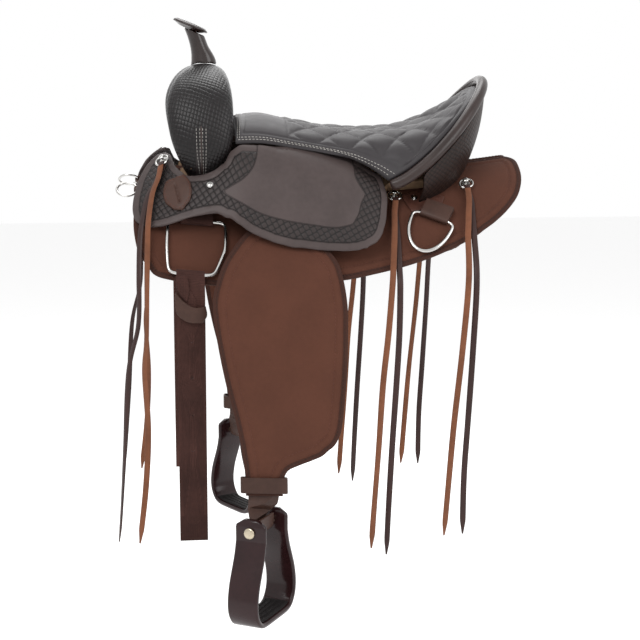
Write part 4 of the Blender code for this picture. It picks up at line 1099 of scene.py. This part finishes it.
def seat_out(u, v):
    d = 0.01
    u, v = np.broadcast_arrays(np.asarray(u, float), np.asarray(v, float))
    along = seat_plain(np.minimum(1, u + d), v) - seat_plain(np.maximum(0, u - d), v)
    over = seat_plain(u, np.minimum(1, v + d)) - seat_plain(u, np.maximum(-1, v - d))
    out = np.cross(along, over)
    return out / np.linalg.norm(out, axis=-1, keepdims=True)


# %% Quilting and the cushion
QUILT_PITCH = 0.055
QUILT_DEPTH = 0.0050
SEAT_WIDE, SEAT_LONG = 0.145, 0.43


def seat_height(u, v):
    """How far the padding stands out of the plain seat, and the distance to its border."""
    place = seat_plain(u, v)
    a = (place[..., 0] + place[..., 1]) / QUILT_PITCH
    b = (place[..., 0] - place[..., 1]) / QUILT_PITCH
    puff = np.abs(np.sin(math.pi * a) * np.sin(math.pi * b)) ** 0.42
    border = np.minimum(np.minimum(u, 1 - u) * SEAT_LONG, (1 - np.abs(v)) * SEAT_WIDE)
    quilted = (eased((place[..., 0] + 0.062) / 0.006)
               * eased((border - 0.019) / 0.005))
    seam = 0.0012 * (np.exp(-((border - 0.0175) / 0.0012) ** 2)
                     + np.exp(-((place[..., 0] + 0.063) / 0.0012) ** 2) * (border > 0.018))
    rest = 0.0026 - seam
    return quilted * QUILT_DEPTH * puff + (1 - quilted) * rest, border


def make_seat():
    columns, rows = 168, 116
    u, v = np.meshgrid(np.linspace(0, 1, columns + 1), np.linspace(-1, 1, rows + 1),
                       indexing="ij")
    lift, border = seat_height(u, v)
    edge = eased(border / 0.016)
    radius = 0.0045
    shy = np.clip(radius - border, 0, radius)
    drop = radius - np.sqrt(radius ** 2 - shy ** 2)
    plain, out = seat_plain(u, v), seat_out(u, v)
    top = plain + out * (lift * eased(border / 0.010) - drop)[..., None]
    under = plain - out * (0.0060 + 0.0118 * edge - 0.3 * drop)[..., None]
    count = (columns + 1) * (rows + 1)
    index = np.arange(count).reshape(columns + 1, rows + 1)
    quads = np.stack([index[:-1, :-1], index[1:, :-1], index[1:, 1:], index[:-1, 1:]],
                     -1).reshape(-1, 4)
    ring = np.concatenate([index[:-1, 0], index[-1, :-1], index[:0:-1, -1], index[0, :0:-1]])
    after = np.roll(ring, -1)
    walls = np.stack([ring, after, after + count, ring + count], -1)
    faces = np.vstack([quads, quads[:, ::-1] + count, walls])
    mesh = mesh_of("seat_cushion_dressed", np.vstack([top.reshape(-1, 3),
                                                      under.reshape(-1, 3)]), faces)
    seat = add_piece("seat_cushion_dressed", mesh, "seat", "seat_cushion")
    return seat


def out_from(obj):
    """The way out of a shape at the place on it nearest to a given one."""
    tree = BVHTree.FromObject(obj, bpy.context.evaluated_depsgraph_get())
    return lambda place: tree.find_nearest(place)[1]


def onto(obj, line, lift=0.0):
    """A line of places moved to the nearest ones on a shape."""
    tree = BVHTree.FromObject(obj, bpy.context.evaluated_depsgraph_get())
    moved = []
    for place in line:
        hit, normal = tree.find_nearest(Vector(place))[:2]
        moved.append(hit + normal * lift)
    return np.array(moved)


seat = make_seat()
seam_lines = []
for w in (1 - 0.0045 / SEAT_WIDE, 1 - 0.0085 / SEAT_WIDE):
    for sign in (-1, 1):
        u = np.linspace(0.012, 0.985, 160)
        seam_lines.append(onto(seat, seat_plain(u, np.full(160, sign * w))))
for u in (0.0055 / SEAT_LONG, 0.0095 / SEAT_LONG):
    v = np.linspace(-0.95, 0.95, 120)
    seam_lines.append(onto(seat, seat_plain(np.full(120, u), v)))
stitches("seat_edge_stitches", seam_lines, out_from(seat), "seat_cushion", "thread")
print("seat points", len(seat.data.vertices), "seam lines", len(seam_lines))

# %% [markdown]
# ## Cantle, roll and fork
#
# The cantle's back and the fork are covered with stamped leather pulled tight over wood, so
# rounded copies of the working model's covers fit them. The stamping needs to know where each
# point would lie in the flat: round the fork by its arc, and round the cantle by its angle.
# The roll is a stuffed tube along the cantle's rim, with a seam along its foot.

# %% Cantle
cantle = smoothed("cantle_cover", "cantle", bevel=0.0008)
places = np.array([v.co for v in cantle.data.vertices])
angle = np.arctan2(places[:, 1], places[:, 0] - 0.02)
store(cantle.data, "flat", np.stack([angle * 0.17, places[:, 2], 0 * angle], 1))
store(cantle.data, "field", places[:, 2] * 0 + 1)
roll = smoothed("cantle_roll", "roll", fatten=0.0006)
ws = np.linspace(-0.97, 0.97, 140)
rims = rim(np.abs(ws)) * np.stack([np.ones(140), np.sign(ws), np.ones(140)], 1)
inner_line = onto(roll, rims + np.array([-0.010, 0, 0.006]))
stitches("cantle_roll_stitches", [inner_line], out_from(roll), "cantle_roll", "dark_thread")

# %% Fork cover
FORK_SEAM_X = -0.199
FORK_ARC, FORK_ARC_Z = 0.16, 0.03  # a circle outside the fork, from which lines drop onto it


def over_fork(dx, sign, start, end, count):
    return [(FORK_SEAM_X + dx, sign * FORK_ARC * math.sin(a), FORK_ARC_Z + FORK_ARC * math.cos(a))
            for a in np.radians(np.linspace(start, end, count))]


fork = smoothed("fork_cover", "fork", bevel=0.0008)
places = np.array([v.co for v in fork.data.vertices])
turn = np.arctan2(places[:, 1], places[:, 2] - FORK_ARC_Z)
store(fork.data, "flat", np.stack([places[:, 0], turn * 0.125, 0 * turn], 1))
seam_side = np.abs(turn) > math.radians(32)
off_seam = np.where(seam_side, np.abs(places[:, 0] - FORK_SEAM_X) - 0.0085, 0.01)
store(fork.data, "field", off_seam)
welt = [onto(fork, over_fork(dx, sign, 34, 106, 70))
        for sign in (-1, 1) for dx in (-0.0022, 0.0022, -0.0075, 0.0075)]
stitches("fork_seam_stitches", welt, out_from(fork), "fork_cover", "thread", radius=0.0004)


def swept(name, path, outs, section, finish_name, node, replaces=True, scale=None):
    """A band along a path. section is its outline as (across, out) pairs, and outs gives the
    way out at each place."""
    path = [Vector(p) for p in path]
    vertices = []
    for i, place in enumerate(path):
        ahead = (path[min(i + 1, len(path) - 1)] - path[max(i - 1, 0)]).normalized()
        out = (outs[i] - ahead * outs[i].dot(ahead)).normalized()
        across = ahead.cross(out)
        grow = (1, 1) if scale is None else scale[i]
        vertices += [place + across * a * grow[0] + out * o * grow[1] for a, o in section]
    sides, rows = len(section), len(path)
    faces = []
    for i in range(rows - 1):
        here, after = i * sides, (i + 1) * sides
        for j in range(sides):
            k = (j + 1) % sides
            faces.append((here + j, here + k, after + k, after + j))
    faces.append(tuple(range(sides)))
    faces.append(tuple(range((rows - 1) * sides, rows * sides))[::-1])
    return add_piece(name, mesh_of(name, vertices, faces), finish_name, node, replaces)


def rounded_section(width, thick, radius, steps=3):
    """A rectangle with round corners, as (across, out) pairs."""
    points = []
    for cx, cy, start in ((1, 1, 0), (-1, 1, 90), (-1, -1, 180), (1, -1, 270)):
        for a in np.radians(start + np.linspace(0, 90, steps)):
            points.append((cx * (width / 2 - radius) + radius * math.cos(a),
                           cy * (thick / 2 - radius) + radius * math.sin(a)))
    return points


# the welt is a thin round bead between its two rows of stitches
for word, sign in SIDES.items():
    line = onto(fork, over_fork(0, sign, 32, 108, 60), 0.0002)
    out = out_from(fork)
    swept(f"fork_welt_{word}", line, [out(Vector(p)) for p in line],
          rounded_section(0.0026, 0.0022, 0.001), "roll", "fork_cover", replaces=False)
print("fork and cantle done")

# %% [markdown]
# ## Horn
#
# The horn's neck is wrapped with smooth leather and its wide cap is covered with a disc that
# is stitched round the edge. Both are rounded copies.

# %% Horn
HORN_CAP_TOP = Vector((-0.2075, 0, 0.256))
HORN_TILT = math.radians(22)
cap = smoothed("horn_cap", "horn", fatten=0.0003)
smoothed("horn_neck", "horn")
cap_turn = Matrix.Rotation(HORN_TILT, 3, "Y")
for radius, drop in ((0.0245, 0.002), (0.0290, 0.0075)):
    circle = [HORN_CAP_TOP + cap_turn @ Vector((radius * math.cos(a), radius * math.sin(a),
                                                -drop))
              for a in np.linspace(0, 2 * math.pi, 80)]
    stitches(f"horn_cap_stitches_{round(drop * 10000)}", [onto(cap, circle)], out_from(cap),
             "horn_cap", "dark_thread", length=0.003, gap=0.0012, radius=0.0004)
print("horn done")

# %% [markdown]
# ## Straps, rings, studs and bolts
#
# Flat straps keep the working model's shape, with their edges eased. The steel rings are
# round wire, welded shut. Subdivision shrinks a thin wire, so the rings are fattened first.

# %% Straps
def woven_copy(node):
    """A strap with its flat coordinates, so that it can be woven."""
    obj = smoothed(node, "webbing", bevel=0.0006)
    places = np.array([v.co for v in obj.data.vertices])
    down = np.hypot(places[:, 1] - places[:, 1].min(), places[:, 2] - places[:, 2].min())
    store(obj.data, "flat", np.stack([down, places[:, 0], 0 * down], 1))


STRAP_BEVELS = {"stirrup_leather": 0.0007, "hobble_strap": 0.0006, "rear_dee_tab": 0.0006,
                "breast_tab": 0.0003}
RING_FATTENING = {"rigging_ring": 0.0002, "rear_dee": 0.0006, "breast_ring": 0.0004}
for word in SIDES:
    woven_copy(f"cinch_strap_{word}")
    woven_copy(f"rigging_tab_{word}")
    for name, bevel in STRAP_BEVELS.items():
        smoothed(f"{name}_{word}", "strap", bevel=bevel)
    for name, fatten in RING_FATTENING.items():
        smoothed(f"{name}_{word}", "steel", fatten=fatten)
    smoothed(f"stirrup_bolt_{word}", "bolt", bevel=0.0007, limit=50)
    for name in ("front", "middle", "rear"):
        smoothed(f"string_stud_{name}_{word}", "steel", bevel=0.0004, limit=50)
        smoothed(f"string_ring_{name}_{word}", "steel", fatten=0.0003)
print("straps and rings done")

# %% [markdown]
# ## Sewn patches, conchos and the cinch's knot
#
# Small flat pieces share one maker: an outline filled with triangles, on the side's curve or
# in an upright plane, with a soft crown. The rear dee's patch carries a stitched outline and
# a cross. Domed screws hold it and the jockey. The cinch strap is folded through its ring and
# crosses over itself. The knot lies low and close to the strap, clear of the fender's swing.

# %% Small flat pieces
PATCH_EDGE = 0.001  # radius of a small piece's edge
KNOT_X, KNOT_HALF, KNOT_GAP = -0.220, 0.024, 0.0006
CONCHO_RADIUS = 0.0055
DOME = [(0, 0.55), (0.45, 0.48), (0.62, 0.30), (0.70, 0.26), (0.90, 0.28), (1.0, 0.12),
        (1.0, 0)]


def small_panel(node, side, outline):
    return Panel(node, side, spacing=0.003, corner=50, outline=np.array(outline))


def upright_patch(name, node, side, outline, y, thickness, finish_name, bulge, bend):
    """A flat piece in an upright plane. outline is in x and z."""
    panel = small_panel(node, side, outline)
    x, z = panel.flat.T
    shy = np.clip(PATCH_EDGE - panel.inside, 0, PATCH_EDGE)
    drop = PATCH_EDGE - np.sqrt(PATCH_EDGE ** 2 - shy ** 2)
    out = y + bulge - bend * ((x - KNOT_X) / KNOT_HALF) ** 2 - drop
    panel.top = np.stack([x, side * out, z], 1)
    panel.bottom = np.stack([x, side * (out - thickness + 1.5 * drop), z], 1)
    add_piece(name, panel.mesh(name), finish_name, node, replaces=False)


def stitched_line(panel, points):
    """A line of places on a patch, with sharp corners, given as x and s."""
    flat = curve_through(np.array(points, float), 0.002, closed=False, corner=5)
    nearest = [int(np.argmin(((panel.flat - p) ** 2).sum(1))) for p in flat]
    return lay(panel.side, flat[:, 0], flat[:, 1], panel.top_n[nearest])


def dome(name, node, side, x, s, height):
    """A low domed screw head with a rim, on the side."""
    place = Vector(lay(side, x, s, height))
    out = outward(side, s)
    along = Vector((1, 0, 0))
    down = out.cross(along)
    vertices, faces, turns = [], [], 20
    for r, h in DOME:
        for k in range(turns):
            a = 2 * math.pi * k / turns
            around = along * math.cos(a) + down * math.sin(a)
            vertices.append(place + around * r * CONCHO_RADIUS + out * h * CONCHO_RADIUS)
    for i in range(len(DOME) - 1):
        for k in range(turns):
            m = (k + 1) % turns
            faces.append((i * turns + k, i * turns + m, (i + 1) * turns + m,
                          (i + 1) * turns + k))
    mesh = mesh_of(name, vertices, faces)
    bm = bmesh.new()
    bm.from_mesh(mesh)
    bmesh.ops.remove_doubles(bm, verts=bm.verts[:], dist=0.00005)
    bm.to_mesh(mesh)
    bm.free()
    add_piece(name, mesh, "steel", node, replaces=False)


# %% Patches and conchos
TAB_TOP = 0.0186  # how high the rear dee's tab lies
DEE_PATCH = [(0.118, 0.099), (0.160, 0.092), (0.188, 0.110), (0.180, 0.128), (0.132, 0.134)]
for word, side in SIDES.items():
    node = f"rear_dee_tab_{word}"
    panel = small_panel(node, side, DEE_PATCH)
    panel.lay(TAB_TOP + 0.0022 + 0.0006 * eased(panel.inside / 0.008), 0.002,
              rounding=PATCH_EDGE)
    name = f"rear_patch_{word}"
    add_piece(name, panel.mesh(name), "patch", node, replaces=False)
    corners = [np.array(p) * 0.78 + np.mean(DEE_PATCH, 0) * 0.22 for p in DEE_PATCH]
    lines = [stitched_line(panel, corners + corners[:1]),
             stitched_line(panel, [corners[0], corners[3]]),
             stitched_line(panel, [corners[2], corners[4]])]
    stitches(f"{name}_stitches", lines, side_out(side), node, "brown_thread")
    dome(f"concho_rear_{word}", node, side, 0.139, 0.108, TAB_TOP + 0.0026)
    node = f"jockey_{word}"
    x, s = -0.187, 0.127
    height = float(heights_on(node, side, np.array([(x, s)]))[0])
    dome(f"concho_middle_{word}", node, side, x, s, height)

# %% The cinch's knot
KNOT = {  # outline, how far out, thickness, finish, bulge and bend
    "diagonal": ([(-0.243, -0.124), (-0.226, -0.122), (-0.222, -0.146), (-0.226, -0.165),
                  (-0.238, -0.150)], 0.0010, 0.002, "webbing", 0.0012, 0),
    "ply": ([(-0.234, -0.146), (-0.222, -0.147), (-0.214, -0.156), (-0.210, -0.182),
             (-0.229, -0.176)], 0, 0.0016, "webbing", 0.0002, 0),
    "band": ([(-0.2435, -0.148), (-0.228, -0.165), (-0.214, -0.172), (-0.1975, -0.171),
              (-0.1960, -0.186), (-0.203, -0.196), (-0.225, -0.194), (-0.2405, -0.183),
              (-0.244, -0.165)], 0.0040, 0.004, "strap", 0.0025, 0.004),
}
for word, side in SIDES.items():
    strap_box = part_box(f"cinch_strap_{word}")
    flush = max(abs(strap_box[0].y), abs(strap_box[1].y)) + KNOT_GAP
    for name, (outline, out, thickness, finish_name, bulge, bend) in KNOT.items():
        upright_patch(f"cinch_{name}_{word}", f"cinch_strap_{word}", side, outline, flush + out,
                      thickness, finish_name, bulge, bend)
print("knots done")

# %% [markdown]
# ## Stirrups
#
# A stirrup is one moulded band bent to a bell shape, glossy and dark red. Its section has
# round edges, and the flat tread at its foot carries a ribbed rubber pad.

# %% Stirrups
STIRRUP_TOP, STIRRUP_TREAD, STIRRUP_DROP, STIRRUP_RISE = 0.037, 0.066, 0.142, 0.020
BOLT_TURN = math.radians(30)
RIB_PITCH = 0.0085
UP = Vector((0, 0, 1))


def stirrup_places(side):
    """The bolt's centre and axis, and places along the band from one arm to the other."""
    centre = Vector((-0.119, side * 0.2945, -0.497))
    axis = Vector((math.sin(BOLT_TURN), -side * math.cos(BOLT_TURN), 0))
    half = through([(STIRRUP_TOP, -0.014), (STIRRUP_TOP + 0.007, -0.038),
                    (STIRRUP_TREAD - 0.005, -0.078), (STIRRUP_TREAD, -0.108),
                    (STIRRUP_TREAD - 0.007, -STIRRUP_DROP + 0.013),
                    (STIRRUP_TREAD - 0.024, -STIRRUP_DROP + 0.0015), (0, -STIRRUP_DROP)], 46)
    top = [(STIRRUP_TOP, z) for z in np.linspace(STIRRUP_RISE, -0.012, 9)]
    half = top + [tuple(p) for p in half]
    line = half + [(-e, z) for e, z in half[-2::-1]]
    return centre, axis, [centre + axis * e + Vector((0, 0, z)) for e, z in line]


for word, side in SIDES.items():
    centre, axis, path = stirrup_places(side)
    middle = centre + Vector((0, 0, -0.08))
    last = len(path) - 1
    outs = []
    for i, place in enumerate(path):
        ahead = path[min(i + 1, last)] - path[max(i - 1, 0)]
        out = ahead.cross(axis.cross(UP))
        outs.append(out if out.dot(place - middle) > 0 else -out)
    ends = [(min(1, 0.45 + 0.25 * min(i, last - i)), 1) for i in range(len(path))]
    swept(f"stirrup_{word}_dressed", path, outs, rounded_section(0.050, 0.0085, 0.0036, 4),
          "resin", f"stirrup_{word}", scale=ends)
    tread = [p for p, o in zip(path, outs) if o.normalized().z < -0.9]
    pad = [p + UP * 0.0052 for p in tread]
    swept(f"stirrup_tread_{word}", pad, [UP] * len(pad),
          rounded_section(0.040, 0.002, 0.0009), "rubber", f"stirrup_{word}", replaces=False)
    over = axis.cross(UP).normalized()
    for k in range(-2, 3):
        rib = [p + over * k * RIB_PITCH + UP * 0.0062 for p in tread[1:-1]]
        swept(f"stirrup_rib_{word}_{k + 2}", rib, [UP] * len(rib),
              rounded_section(0.0032, 0.0022, 0.0010), "rubber", f"stirrup_{word}",
              replaces=False)
print("stirrups done")

# %% [markdown]
# ## Saddle strings
#
# Each string is a long leather lace folded through its ring, so two tails hang from it. One
# tail shows its dark grain side and the other its tan suede side. They lie on the side until
# its edge and then hang. A short wrap under the ring holds the fold.

# %% Paths of the tails
SKIRT_OUT = 0.0183
SOFT_LIFT = 0.0011
RING_RADIUS, RING_WIRE = 0.011, 0.0018
LACE_WIDTH, LACE_THICK = 0.0095, 0.0024
FLAT_ANGLE = math.radians(33)
GAP = 0.0003
HALF_THICK = 0.00125  # of the lace in the working model
STUD_RADIUS = 0.002
PLY = RING_WIRE + GAP + HALF_THICK
LACE_SECTION = rounded_section(LACE_WIDTH, LACE_THICK, 0.0008, 2)
JOCKEY_LOW = [(-0.302, 0.0186), (-0.235, 0.0338), (-0.150, 0.0466), (0.055, 0.0466),
              (0.104, 0.032)]
JOCKEY_RISE = [(-0.302, 0.0), (-0.270, 0.010), (-0.150, 0.0585), (-0.050, 0.0585),
               (0.0, 0.049), (0.100, 0.020)]


def jockey_outside(x, s):
    low = float(np.interp(x, *zip(*JOCKEY_LOW)))
    rise = float(np.interp(x, *zip(*JOCKEY_RISE)))
    return low + rise * min(1.2, max(0.0, (0.21 - s) / 0.13)) + 0.004


def level(n):
    return lambda x, s: n


# each stud's x and s, then two tails: x and s down the side, x and z below
STRINGS = {
    "front": ((-0.256, 0.068),
              ([(-0.270, 0.105), (-0.284, 0.130), (-0.292, 0.17), (-0.296, 0.21)],
               [(-0.300, -0.20), (-0.316, -0.27), (-0.324, -0.39), (-0.332, -0.50),
                (-0.336, -0.540)]),
              ([(-0.266, 0.105), (-0.276, 0.130), (-0.282, 0.17), (-0.284, 0.21)],
               [(-0.288, -0.22), (-0.292, -0.27), (-0.288, -0.36), (-0.293, -0.45),
                (-0.304, -0.542)])),
    "middle": ((0.108, 0.098),
               ([(0.105, 0.14), (0.105, 0.18), (0.103, 0.235)],
                [(0.101, -0.22), (0.097, -0.30), (0.091, -0.40), (0.086, -0.50),
                 (0.083, -0.575)]),
               ([(0.103, 0.14), (0.099, 0.18), (0.093, 0.23)],
                [(0.083, -0.22), (0.075, -0.30), (0.069, -0.40), (0.062, -0.50),
                 (0.058, -0.562)])),
    "rear": ((0.226, 0.085),
             ([(0.228, 0.125), (0.227, 0.15), (0.225, 0.19)],
              [(0.217, -0.25), (0.211, -0.36), (0.206, -0.45), (0.205, -0.545)]),
             ([(0.224, 0.125), (0.220, 0.15), (0.214, 0.19)],
              [(0.199, -0.25), (0.188, -0.36), (0.181, -0.45), (0.174, -0.545)])),
}


def tail_places(side, name, lies_on, lift, tail):
    """Places down the side and off its edge, as in the working model."""
    on_it, below = tail
    xs, ss = zip(*on_it)
    places = []
    for s in steps(ss[0], ss[-1]):
        height = lies_on if name != "front" or s < 0.19 else level(SKIRT_OUT + 0.001)
        x = float(np.interp(s, ss, xs))
        places.append(on_side(side, x, s, height(x, s) + lift))
    x = below[0][0]
    edge = on_side(side, xs[-1] + (x - xs[-1]) * 0.4, 0.262, SKIRT_OUT + lift)
    places.append(edge)
    places += [Vector((x, edge.y + side * 0.003, z)) for x, z in below]
    return places


# %% Laces and their wraps
def lace(name, node, places, first_out, finish_name):
    """One tail as a band with a pointed end."""
    line = through([tuple(p) for p in places], 90)
    run = float(np.linalg.norm(np.diff(line, axis=0), axis=1).sum())
    phase = sum(map(ord, name)) % 7
    outs, scale = [], []
    for i, place in enumerate(line):
        t = i / (len(line) - 1)
        free = eased((t - 0.45) / 0.4)
        turn = free * 0.55 * math.sin(5.0 * t + phase)
        out = first_out.copy()
        out.rotate(Matrix.Rotation(turn, 3, "Z"))
        outs.append(out)
        tip = min(1.0, (1 - t) * run / 0.022)
        scale.append((0.25 + 0.75 * tip, 0.6 + 0.4 * tip))
    obj = swept(name, line, outs, LACE_SECTION, finish_name, node, scale=scale)
    return run


lengths = []
for word, side in SIDES.items():
    for name, ((x, s), *tails) in STRINGS.items():
        node = f"saddle_string_{name}_{word}"
        lies_on = jockey_outside if name == "front" else level(SKIRT_OUT)
        base, along, down, out = spot(side, x, s, lies_on)
        lift = HALF_THICK + SOFT_LIFT + PLY
        base += out * (SOFT_LIFT if name == "front" else GAP)
        drop = RING_RADIUS - RING_WIRE - STUD_RADIUS - GAP
        centre = base + out * lift + down * drop
        bar = centre + down * RING_RADIUS * math.cos(FLAT_ANGLE)
        lift += SOFT_LIFT
        fold = [bar + (-out * math.cos(a) - down * math.sin(a)) * (PLY + 0.0002)
                for a in np.radians(np.linspace(0, 180, 11))]
        fold = [bar - out * PLY + down * 0.006] + fold + [bar + out * PLY + down * 0.006]
        outs = [(p - bar) if 0 < i < len(fold) - 1 else out * (1 if i else -1)
                for i, p in enumerate(fold)]
        wrap = swept(f"{node}_fold", fold, outs, LACE_SECTION, "grain_side", node)
        for kind, sign, finish_name, tail in zip(("inner", "outer"), (-1, 1),
                                                 ("grain_side", "flesh_side"), tails):
            start = bar + out * sign * PLY + down * 0.003
            places = [start] + tail_places(side, name, lies_on, lift + sign * PLY, tail)
            lengths.append(lace(f"{node}_{kind}", node, places, out, finish_name))
print("tails", len(lengths), "from", round(min(lengths), 3), "to", round(max(lengths), 3), "m")

# %% [markdown]
# ## Hidden pieces
#
# The tree and the ground seat keep the working model's shapes, and get grain of their own.

# %% Hidden pieces
for node, finish_name in (("tree_fork", "wood"), ("tree_cantle", "wood"),
                          ("tree_bar_left", "wood"), ("tree_bar_right", "wood"),
                          ("ground_seat", "ground")):
    frame["nodes"][node].material_slots[0].material = FINISHES[finish_name]
